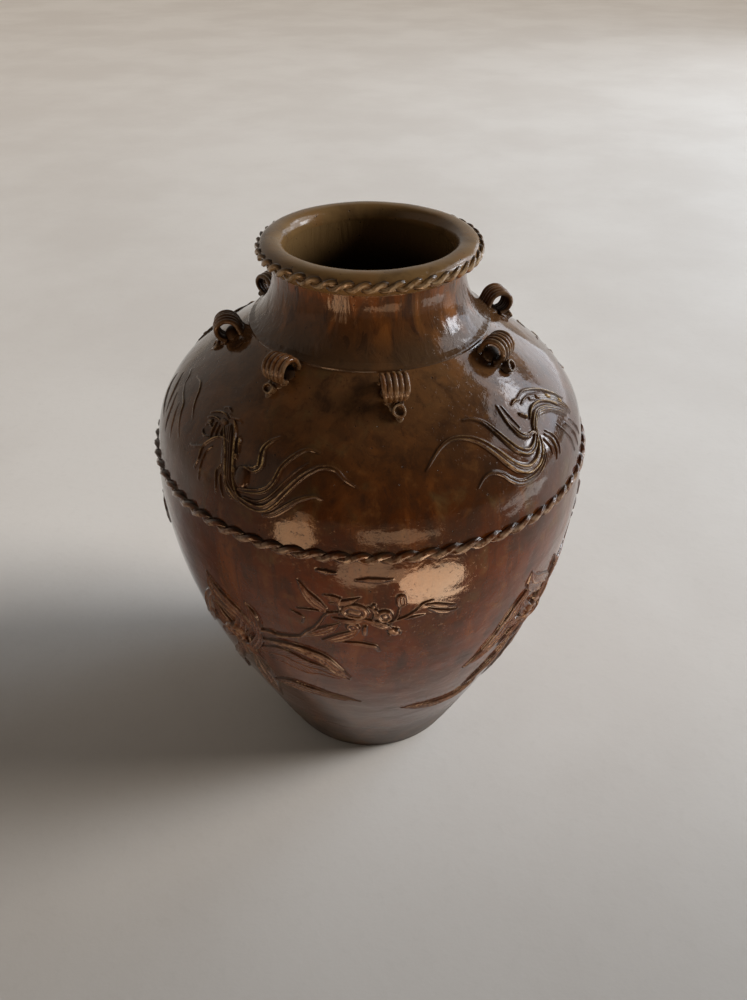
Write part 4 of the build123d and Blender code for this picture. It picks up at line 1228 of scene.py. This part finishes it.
BIRD_R = [
    ("combed", [(63.8, 491.9), (64.6, 498.8), (66.7, 502.5), (69.3, 504.4), (72.5, 503.1), (75.6, 500.1), (78.8, 492.9), (81.4, 485.5)], [2.4, 3.6, 4.2, 4.4, 4.4, 4.2, 3.8, 2.4], [2.6, 3.4, 3.6, 3.6, 3.4, 3.2, 2.8, 1.8]),
    ("coil", [(65.0, 504.6), (67.4, 508.2), (70.4, 509.4), (74.4, 507.4), (78.0, 501.4), (81.0, 492.6)], [0.8, 1.2, 1.4, 1.4, 1.2, 0.8], [2.0, 3.2, 3.4, 3.2, 2.8, 1.6]),
    ("combed", [(71.4, 514.0), (75.6, 509.6), (79.6, 502.0), (82.6, 492.6), (84.6, 483.0)], [3.6, 6.0, 6.4, 6.0, 3.6], [1.8, 2.6, 2.8, 2.6, 1.6]),
    ("coil", [(65.6, 518.2), (70.9, 519.3), (77.2, 513.6), (81.4, 505.0), (85.1, 494.4)], [0.7, 1.1, 1.3, 1.3, 0.9], [1.2, 2.4, 2.8, 2.6, 1.6]),
    ("dome", [(73.6, 511.6), (74.2, 510.4)], [2.4, 2.4], [3.2, 3.2]),
    ("dome", [(78.0, 506.8), (78.6, 505.4)], [2.6, 2.6], [3.6, 3.6]),
    ("dome", [(81.6, 498.0), (82.0, 496.4)], [2.4, 2.4], [3.4, 3.4]),
    ("coil", [(62.5, 517.4), (64.6, 518.3), (66.7, 517.0)], [1.1, 1.6, 1.1], [1.8, 2.8, 1.8]),
    ("coil", [(66.2, 514.6), (68.6, 515.6), (71.2, 515.4)], [0.8, 1.2, 0.8], [1.4, 2.2, 1.4]),
    ("dome", [(62.8, 510.2), (64.2, 507.4)], [1.8, 2.2], [2.2, 2.6]),
    ("coil", [(66.7, 489.9), (68.3, 484.1), (68.5, 474.2), (67.7, 465.7)], [0.9, 1.2, 1.1, 0.6], [2.0, 2.4, 1.9, 0.8]),
    ("coil", [(67.7, 491.7), (69.9, 484.6), (70.4, 475.4), (69.8, 467.0)], [0.8, 1.0, 0.9, 0.6], [1.8, 2.2, 1.7, 0.8]),
    ("coil", [(65.6, 487.4), (66.6, 480.6), (66.4, 472.4)], [0.8, 1.0, 0.6], [1.8, 2.0, 0.9]),
    ("coil", [(74.0, 488.0), (75.4, 480.6), (77.2, 472.5)], [0.7, 1.0, 0.6], [1.4, 1.9, 0.8]),
    ("coil", [(74.6, 484.0), (77.4, 469.0), (79.0, 452.0)], [0.7, 1.0, 0.6], [1.2, 1.7, 0.8]),
    ("coil", [(78.4, 482.0), (81.0, 467.0), (82.8, 450.0)], [0.7, 1.0, 0.6], [1.2, 1.7, 0.8]),
    ("coil", [(81.8, 480.0), (84.0, 468.0), (86.0, 455.0)], [0.7, 1.0, 0.6], [1.2, 1.7, 0.8]),
]
WISPS = [
    ("coil", [(-61.4, 504.2), (-56.9, 500.8), (-52.9, 497.8), (-50.9, 491.8), (-49.0, 485.8), (-46.2, 478.0)], [0.7, 1.3, 1.7, 1.8, 1.5, 0.8], [0.8, 1.6, 2.2, 2.2, 1.8, 0.8]),
    ("coil", [(-55.6, 494.4), (-54.0, 487.3), (-52.6, 480.3), (-50.7, 469.3)], [0.7, 1.5, 1.6, 0.7], [0.9, 1.9, 1.9, 0.8]),
    ("coil", [(-58.6, 514.3), (-54.4, 515.0), (-50.9, 511.3), (-48.0, 504.3), (-44.4, 496.9)], [0.8, 1.6, 1.8, 1.6, 0.8], [0.9, 1.9, 2.2, 1.9, 0.8]),
    ("coil", [(-73.0, 494.0), (-71.6, 484.5), (-66.6, 475.6), (-61.0, 470.0)], [0.8, 1.7, 1.7, 0.8], [0.9, 2.1, 2.1, 0.8]),
    ("coil", [(-69.0, 503.0), (-65.4, 496.0), (-62.8, 487.0), (-60.8, 476.0)], [0.8, 1.6, 1.6, 0.8], [0.9, 2.0, 2.0, 0.8]),
    ("coil", [(-61.0, 495.0), (-58.6, 487.0), (-57.2, 478.0), (-55.4, 466.0)], [0.7, 1.5, 1.5, 0.7], [0.9, 1.8, 1.8, 0.8]),
    ("coil", [(-66.0, 510.5), (-63.0, 508.5), (-60.8, 503.0)], [0.7, 1.3, 0.7], [0.8, 1.6, 0.7]),
]
WISPS = [(k, p, [a * 0.60 for a in w], [a * 0.55 for a in h]) for k, p, w, h in WISPS]

# sprays of the lower body
FLOWER = [
    ("leaf", [(-25.0, 275.0), (-22.8, 292.0), (-21.4, 308.0), (-20.8, 320.0)], [6.0, 8.6, 7.4, 1.4], [3.4, 4.2, 3.8, 1.4]),
    ("leaf", [(-16.9, 293.0), (-16.6, 311.0), (-17.2, 328.0), (-18.8, 338.5)], [4.2, 6.6, 6.0, 1.3], [2.8, 4.2, 3.9, 1.4]),
    ("leaf", [(-16.4, 299.0), (-17.2, 284.0), (-19.4, 268.0), (-22.4, 250.0)], [3.2, 6.2, 6.6, 1.6], [2.8, 4.4, 4.4, 1.8]),
    ("leaf", [(-25.0, 275.0), (-29.4, 289.0), (-31.8, 305.0), (-32.6, 316.0)], [6.0, 8.6, 7.2, 1.4], [3.4, 4.2, 3.8, 1.4]),
    ("leaf", [(-25.0, 275.0), (-23.4, 258.0), (-21.0, 244.0), (-18.8, 234.0)], [6.0, 7.8, 6.0, 1.2], [3.4, 4.0, 3.2, 1.2]),
    ("leaf", [(-25.0, 275.0), (-25.2, 252.0), (-25.6, 234.0), (-26.6, 220.0)], [6.0, 8.6, 6.8, 1.3], [3.4, 4.2, 3.6, 1.3]),
    ("leaf", [(-25.0, 275.0), (-30.6, 262.0), (-33.4, 247.0), (-34.6, 236.0)], [6.0, 8.4, 6.8, 1.3], [3.4, 4.2, 3.6, 1.3]),
    ("leaf", [(-25.0, 275.0), (-31.8, 277.0), (-36.8, 282.0), (-39.2, 287.0)], [6.0, 8.0, 6.4, 1.3], [3.4, 4.0, 3.4, 1.2]),
    ("ring", [(-25.1, 276.6), (-24.9, 273.4)], [11.0, 11.0], [6.2, 6.2]),
    ("coil", [(-28.4, 266.0), (-29.4, 275.0), (-27.8, 284.0), (-24.6, 287.6), (-21.6, 283.0)], [1.0, 1.6, 1.7, 1.6, 1.0], [4.4, 6.0, 6.2, 6.0, 4.6]),
    ("coil", [(-20.8, 280.0), (-20.6, 271.0), (-22.8, 263.6), (-26.2, 262.4)], [1.0, 1.6, 1.6, 1.0], [4.4, 6.0, 6.0, 4.6]),
]
LEAVES = [
    ("leaf", [(-15.3, 262.0), (-10.6, 266.6), (-7.5, 263.1), (-4.1, 258.6), (-0.1, 257.0), (3.6, 249.5), (7.8, 243.1)], [11.0, 15.5, 16.0, 14.0, 10.0, 6.0, 1.0], [1.8, 2.3, 2.5, 2.5, 2.3, 2.0, 1.0]),
    ("leaf", [(-15.6, 286.0), (-12.0, 290.0), (-8.6, 292.6), (-5.2, 292.4), (-1.6, 288.2), (1.5, 280.6), (4.7, 264.8), (8.1, 247.3)], [2.4, 3.4, 4.6, 6.0, 7.6, 6.8, 4.8, 1.2], [2.4, 3.0, 3.4, 3.6, 3.7, 3.6, 3.2, 1.4]),
    ("leaf", [(-18.6, 192.0), (-12.0, 203.0), (-7.9, 202.6), (-3.3, 200.4), (0.3, 196.6), (4.4, 193.1), (10.6, 186.4)], [2.4, 7.6, 9.6, 8.4, 6.0, 4.2, 1.0], [1.6, 2.6, 3.0, 2.9, 2.6, 2.2, 1.0]),
    ("leaf", [(-22.1, 240.0), (-21.9, 214.0), (-22.0, 186.0), (-22.8, 156.0), (-23.9, 128.0)], [5.0, 10.0, 10.4, 7.0, 1.2], [2.0, 3.2, 3.4, 2.8, 1.0]),
    ("leaf", [(-19.8, 302.0), (-23.0, 314.0), (-27.0, 322.0), (-30.0, 333.0), (-31.8, 351.0)], [6.0, 11.0, 12.6, 9.6, 1.4], [2.2, 3.2, 3.4, 3.0, 1.2]),
    ("leaf", [(-47.7, 229.8), (-44.2, 238.0), (-40.9, 253.6), (-38.4, 267.5), (-36.8, 282.0), (-35.3, 294.1), (-33.6, 309.3), (-31.5, 321.6), (-29.7, 333.5)], [1.4, 5.0, 8.4, 9.8, 10.0, 9.6, 8.6, 6.6, 1.6], [1.2, 2.4, 3.0, 3.2, 3.2, 3.2, 3.0, 2.6, 1.2]),
    ("leaf", [(-65.7, 158.6), (-60.9, 154.4), (-55.2, 150.0), (-49.7, 147.0), (-44.4, 148.0), (-40.4, 154.0), (-38.0, 164.0), (-36.2, 177.0)], [1.2, 4.8, 6.8, 7.6, 7.6, 7.2, 6.0, 2.0], [1.0, 2.4, 2.9, 3.0, 3.0, 2.9, 2.6, 1.2]),
    ("leaf", [(-29.0, 236.0), (-31.2, 220.0), (-33.8, 202.0), (-38.2, 184.0), (-43.0, 170.0)], [4.0, 7.6, 8.0, 6.0, 1.2], [2.0, 3.0, 3.0, 2.6, 1.0]),
]
BRANCH = [
    ("coil", [(-15.6, 302.4), (-12.7, 306.6), (-10.0, 306.6), (-6.4, 311.0), (-3.6, 316.0), (-1.8, 325.6), (0.1, 333.5), (1.7, 343.8), (3.3, 355.7), (5.7, 361.4)], [2.5, 2.5, 2.3, 2.1, 2.0, 1.9, 1.8, 1.8, 1.6, 1.3], [2.6, 2.9, 2.8, 2.7, 2.6, 2.5, 2.4, 2.4, 2.2, 1.8]),
    ("leaf", [(-3.1, 316.8), (-0.6, 323.6), (2.1, 330.4), (4.4, 337.0), (6.4, 344.6)], [1.2, 4.2, 5.8, 5.4, 1.4], [1.6, 2.5, 2.8, 2.7, 1.4]),
    ("leaf", [(2.0, 315.9), (4.5, 320.0), (7.2, 325.9), (9.4, 331.7), (11.1, 338.4)], [1.4, 4.8, 6.2, 5.0, 1.3], [1.6, 2.7, 3.1, 2.9, 1.4]),
    ("leaf", [(4.6, 317.0), (8.5, 315.9), (11.2, 315.0), (13.1, 312.6), (14.8, 310.3), (15.9, 301.8)], [1.0, 1.8, 2.8, 3.3, 2.8, 1.1], [1.3, 2.0, 2.5, 2.7, 2.5, 1.2]),
    ("leaf", [(2.8, 364.0), (1.3, 369.9), (0.0, 376.0), (-1.1, 382.1), (-2.0, 389.4), (-2.9, 395.4)], [4.2, 6.0, 5.8, 4.4, 3.0, 0.9], [2.0, 2.7, 2.8, 2.6, 2.2, 1.0]),
    ("coil", [(-5.2, 353.0), (-3.3, 350.0), (-2.3, 346.0), (-2.7, 338.0)], [0.8, 1.2, 1.1, 0.7], [1.2, 1.9, 1.7, 0.9]),
    ("coil", [(-3.6, 358.3), (-1.2, 359.7), (1.6, 360.6), (4.0, 359.8), (6.4, 361.7)], [0.8, 1.2, 1.3, 1.2, 0.9], [1.2, 2.0, 2.2, 2.0, 1.6]),
    ("leaf", [(3.1, 382.2), (4.8, 380.3), (6.1, 378.2), (7.2, 374.5)], [1.0, 3.8, 4.2, 1.4], [1.2, 2.5, 2.6, 1.4]),
    ("coil", [(7.0, 380.6), (6.5, 373.7), (6.7, 366.2)], [1.0, 1.6, 1.2], [1.6, 2.8, 2.2]),
    ("ring", [(9.2, 364.0), (10.9, 362.6)], [10.4, 10.4], [3.7, 3.7]),
    ("coil", [(6.9, 361.8), (8.2, 370.4), (10.4, 373.0), (12.6, 368.6), (13.4, 361.4)], [0.7, 1.1, 1.2, 1.1, 0.7], [2.0, 3.3, 3.5, 3.3, 2.0]),
    ("leaf", [(12.2, 353.0), (14.6, 348.6), (17.0, 343.0), (19.0, 337.4)], [1.6, 4.4, 4.8, 1.8], [1.6, 2.9, 2.9, 1.6]),
    ("leaf", [(5.0, 352.6), (7.6, 350.0), (10.4, 350.4), (12.8, 353.2)], [1.4, 3.6, 3.8, 1.4], [1.4, 2.5, 2.6, 1.4]),
    ("leaf", [(13.2, 370.4), (14.9, 364.4), (15.0, 357.0), (14.0, 350.6)], [1.2, 3.0, 3.2, 1.2], [1.4, 2.6, 2.6, 1.4]),
    ("leaf", [(4.6, 372.6), (6.9, 374.2), (9.4, 377.6), (11.4, 382.0)], [1.4, 3.6, 3.4, 0.9], [1.4, 2.5, 2.4, 1.0]),
    ("ring", [(16.9, 358.2), (17.1, 356.4)], [8.2, 8.2], [3.4, 3.4]),
    ("ring", [(9.5, 341.8), (9.7, 340.8)], [6.8, 6.8], [3.1, 3.1]),
    ("dome", [(12.5, 342.4), (12.4, 336.4), (12.4, 330.8)], [2.0, 2.6, 2.0], [2.6, 3.3, 2.6]),
    ("dome", [(14.5, 372.4), (14.5, 371.0)], [2.0, 2.0], [2.7, 2.7]),
    ("dome", [(18.8, 335.6), (19.6, 332.4)], [4.4, 4.6], [3.1, 3.3]),
    ("dome", [(18.3, 331.4), (18.4, 330.8)], [1.7, 1.7], [4.1, 4.1]),
    ("dome", [(19.9, 336.6), (20.1, 336.2)], [1.8, 1.8], [4.3, 4.3]),
    ("dome", [(20.6, 331.6), (20.7, 331.0)], [1.5, 1.5], [3.7, 3.7]),
    ("leaf", [(10.6, 403.5), (13.0, 404.3), (15.6, 403.7), (18.6, 404.1)], [0.9, 2.9, 2.9, 0.9], [0.9, 1.9, 1.9, 0.9]),
    ("dome", [(1.8, 411.4), (3.8, 410.9)], [1.8, 2.9], [1.4, 2.4]),
    ("dome", [(4.6, 410.6), (5.8, 410.3)], [2.2, 1.6], [2.2, 1.5]),
    ("ring", [(20.7, 380.4), (20.9, 373.4)], [5.2, 5.2], [2.9, 2.9]),
    ("coil", [(20.6, 369.0), (19.9, 355.0), (18.2, 343.3)], [1.1, 1.4, 1.0], [1.6, 2.2, 1.6]),
    ("coil", [(18.1, 347.8), (20.7, 352.3), (22.5, 355.7), (24.6, 362.6), (25.9, 369.6), (28.2, 372.6)], [1.2, 1.5, 1.5, 1.5, 1.4, 0.9], [1.8, 2.3, 2.3, 2.3, 2.1, 1.2]),
    ("leaf", [(26.9, 367.4), (29.1, 365.1), (31.2, 361.7), (34.0, 358.5)], [1.2, 2.8, 2.6, 0.8], [1.4, 2.3, 2.3, 1.0]),
    ("leaf", [(27.4, 361.4), (29.9, 355.7), (32.0, 352.7), (34.6, 351.6)], [1.1, 2.8, 2.8, 0.8], [1.4, 2.3, 2.3, 1.0]),
    ("leaf", [(22.2, 350.6), (24.0, 352.4), (26.4, 353.2)], [0.7, 1.8, 0.7], [0.9, 1.9, 0.9]),
]
for b, (bird_s, tail_s, turn) in enumerate([(BIRD_L, TAIL_L, 0.0), (BIRD_R, TAIL_R, 0.0), (BIRD_L, TAIL_L, 180.0), (BIRD_R, TAIL_R, 180.0)], 1):
    piece(sprig(f"tail_{b}_feathers", tail_s, turn, 40 + b, 0.62, dark=0.60), f"tail_{b}", mat_relief)
    piece(sprig(f"bird_{b}_modelled", bird_s, turn, 50 + b, 0.62, dark=0.50), f"bird_{b}", mat_relief)
for c in (1, 2):
    piece(sprig(f"cloud_{c}_modelled", WISPS, 180.0 * (c - 1), 60 + c, 0.66, dark=0.30), f"cloud_{c}", mat_relief)
for s in range(4):
    piece(sprig(f"flower_{s + 1}_petals", FLOWER, 90.0 * s, 70 + s, 0.72), f"flower_{s + 1}", mat_relief)
    piece(sprig(f"leaves_{s + 1}_veined", LEAVES, 90.0 * s, 80 + s, 0.72), f"leaves_{s + 1}", mat_relief)
    piece(sprig(f"branch_{s + 1}_modelled", BRANCH, 90.0 * s, 90 + s, 0.66), f"branch_{s + 1}", mat_relief)

# ------------------------------------------------------------------------------------------------ floor, lights, world
floor = make_object("floor", np.array([(-30000, -30000, -0.2), (30000, -30000, -0.2), (30000, 30000, -0.2), (-30000, 30000, -0.2)], float), np.array([[0, 1, 2, 3]]))
fm = Tree("floor_plain")
cloud = fm.noise(fm.co, 1.4, 5.0, 0.6)
grain = fm.noise(fm.co, 60.0, 4.0, 0.65)
tone = fm.mix(fm.span(cloud, 0.35, 0.65), (0.870, 0.805, 0.735), (0.945, 0.885, 0.815))
tone = fm.mix(fm.math("MULTIPLY", fm.span(grain, 0.52, 0.70), 0.10), tone, (0.72, 0.66, 0.60))
# painted light and shade: the pale ground is painted a little darker close by and lighter far away along the view's
# depth
fs = fm.t.nodes.new("ShaderNodeSeparateXYZ")
fm.put(fs.inputs[0], fm.co)
deep = fm.math("MULTIPLY_ADD", fs.outputs[0], -math.sin(TURN), fm.math("MULTIPLY", fs.outputs[1], math.cos(TURN)))
near = fm.span(deep, -0.52, 0.10, 0.60 / 1.3, 1.0 / 1.3)
far = fm.span(deep, 0.9, 4.2, 1.0, 1.12)
tone = fm.mix(1.0, tone, fm.mix(fm.math("MULTIPLY", near, far), (0, 0, 0), (1, 1, 1)), "MULTIPLY")
fm.put(fm.b.inputs["Base Color"], tone)
fm.b.inputs["Roughness"].default_value = 0.62
fm.b.inputs["Specular IOR Level"].default_value = 0.25
fm.put(fm.b.inputs["Normal"], fm.bump(grain, 0.0006, 0.5))
floor.data.materials.append(fm.m)


def direction(azimuth, elevation):
    a, e = math.radians(azimuth), math.radians(elevation)
    return np.array([math.cos(e) * math.sin(a), -math.cos(e) * math.cos(a), math.sin(e)])


def put_light(name, data, loc, facing, colour, glossy=True):
    data.color = colour
    ob = bpy.data.objects.new(name, data)
    scene.collection.objects.link(ob)
    ob.location = loc
    ob.rotation_euler = Vector(facing).to_track_quat("-Z", "Y").to_euler()
    ob.visible_camera = False
    ob.visible_glossy = glossy
    return ob


def area_light(name, azimuth, elevation, distance, size, radiance, colour, target=(0, 0, 0.42)):
    """A soft rectangular light that looks at the target from a direction; its brightness is per area and angle."""
    d = direction(azimuth, elevation)
    ld = bpy.data.lights.new(name, "AREA")
    ld.shape = "RECTANGLE"
    ld.size, ld.size_y = size
    ld.energy = radiance * math.pi * size[0] * size[1]
    return put_light(name, ld, np.array(target) + d * distance, -d, colour)


def floor_glow(name, azimuth, distance, across, deep, radiance, colour):
    """A warm patch of light lying on the floor, seen only in the glaze."""
    ld = bpy.data.lights.new(name, "AREA")
    ld.shape = "ELLIPSE"
    ld.size, ld.size_y = across, deep
    ld.energy = radiance * math.pi * across * deep * math.pi / 4
    d = direction(azimuth, 0)
    ob = put_light(name, ld, d * distance + np.array([0, 0, 0.01]), (0, 0, 1), colour)
    ob.rotation_euler = (math.pi, 0.0, math.radians(azimuth))
    return ob


sun = bpy.data.lights.new("key_soft", "SUN")
sun.energy = 2.50
sun.angle = math.radians(24)
put_light("key_soft", sun, (0, 0, 3), -direction(106, 31), (1.0, 0.930, 0.855), glossy=False)
area_light("window_right", 121, 25, 6.0, (4.4, 4.2), 2.7, (0.72, 0.90, 1.12))
area_light("window_bright", 111, 15, 5.8, (1.2, 1.5), 13.0, (0.76, 0.94, 1.14))
area_light("window_upper", 131, 31, 5.8, (1.1, 0.8), 7.0, (0.76, 0.94, 1.14))
area_light("wall_back_right", 150, 6, 6.0, (3.0, 2.3), 1.5, (0.86, 0.96, 1.08))
floor_glow("floor_side", 91, 2.0, 1.1, 1.2, 2.2, (0.84, 0.94, 1.0))
floor_glow("floor_mid", 14, 0.90, 0.50, 0.42, 2.6, (1.0, 0.77, 0.55))
floor_glow("floor_right", 41, 0.74, 0.38, 0.42, 8.6, (1.0, 0.77, 0.55))
floor_glow("floor_left", -20, 2.7, 0.72, 3.4, 4.3, (1.0, 0.73, 0.48))
area_light("wall_left", -18, 0.5, 4.6, (0.60, 0.88), 2.0, (1.0, 0.72, 0.46))
floor_glow("floor_front", 27, 2.3, 1.5, 1.4, 2.3, (1.0, 0.78, 0.56))

world = bpy.data.worlds.new("studio")
scene.world = world
world.use_nodes = True
wt = world.node_tree
bg = wt.nodes["Background"]
tc = wt.nodes.new("ShaderNodeTexCoord")
ws = wt.nodes.new("ShaderNodeSeparateXYZ")
wt.links.new(tc.outputs["Generated"], ws.inputs[0])


def wspan(v, a, b, c=0.0, d=1.0):
    n = wt.nodes.new("ShaderNodeMapRange")
    n.interpolation_type = "SMOOTHSTEP"
    wt.links.new(v, n.inputs["Value"])
    for k, x in zip(("From Min", "From Max", "To Min", "To Max"), (a, b, c, d)):
        n.inputs[k].default_value = x
    return n.outputs[0]


def wmath(op, a, b):
    n = wt.nodes.new("ShaderNodeMath")
    n.operation = op
    for k, x in enumerate((a, b)):
        if isinstance(x, bpy.types.NodeSocket):
            wt.links.new(x, n.inputs[k])
        else:
            n.inputs[k].default_value = x
    return n.outputs[0]


side = wmath("MAXIMUM", wspan(ws.outputs[1], -0.25, 0.45), wspan(ws.outputs[0], -0.25, -0.75))
side = wmath("MULTIPLY", side, wspan(ws.outputs[2], 0.92, 0.55))
wm = wt.nodes.new("ShaderNodeMix")
wm.data_type = "RGBA"
wt.links.new(side, wm.inputs[0])
wm.inputs[6].default_value = (0.068, 0.060, 0.051, 1.0)
wm.inputs[7].default_value = (0.395, 0.366, 0.332, 1.0)
wt.links.new(wm.outputs[2], bg.inputs["Color"])
bg.inputs["Strength"].default_value = 1.0

scene.view_settings.view_transform = "Standard"
scene.view_settings.look = "None"
scene.view_settings.exposure = 0.0
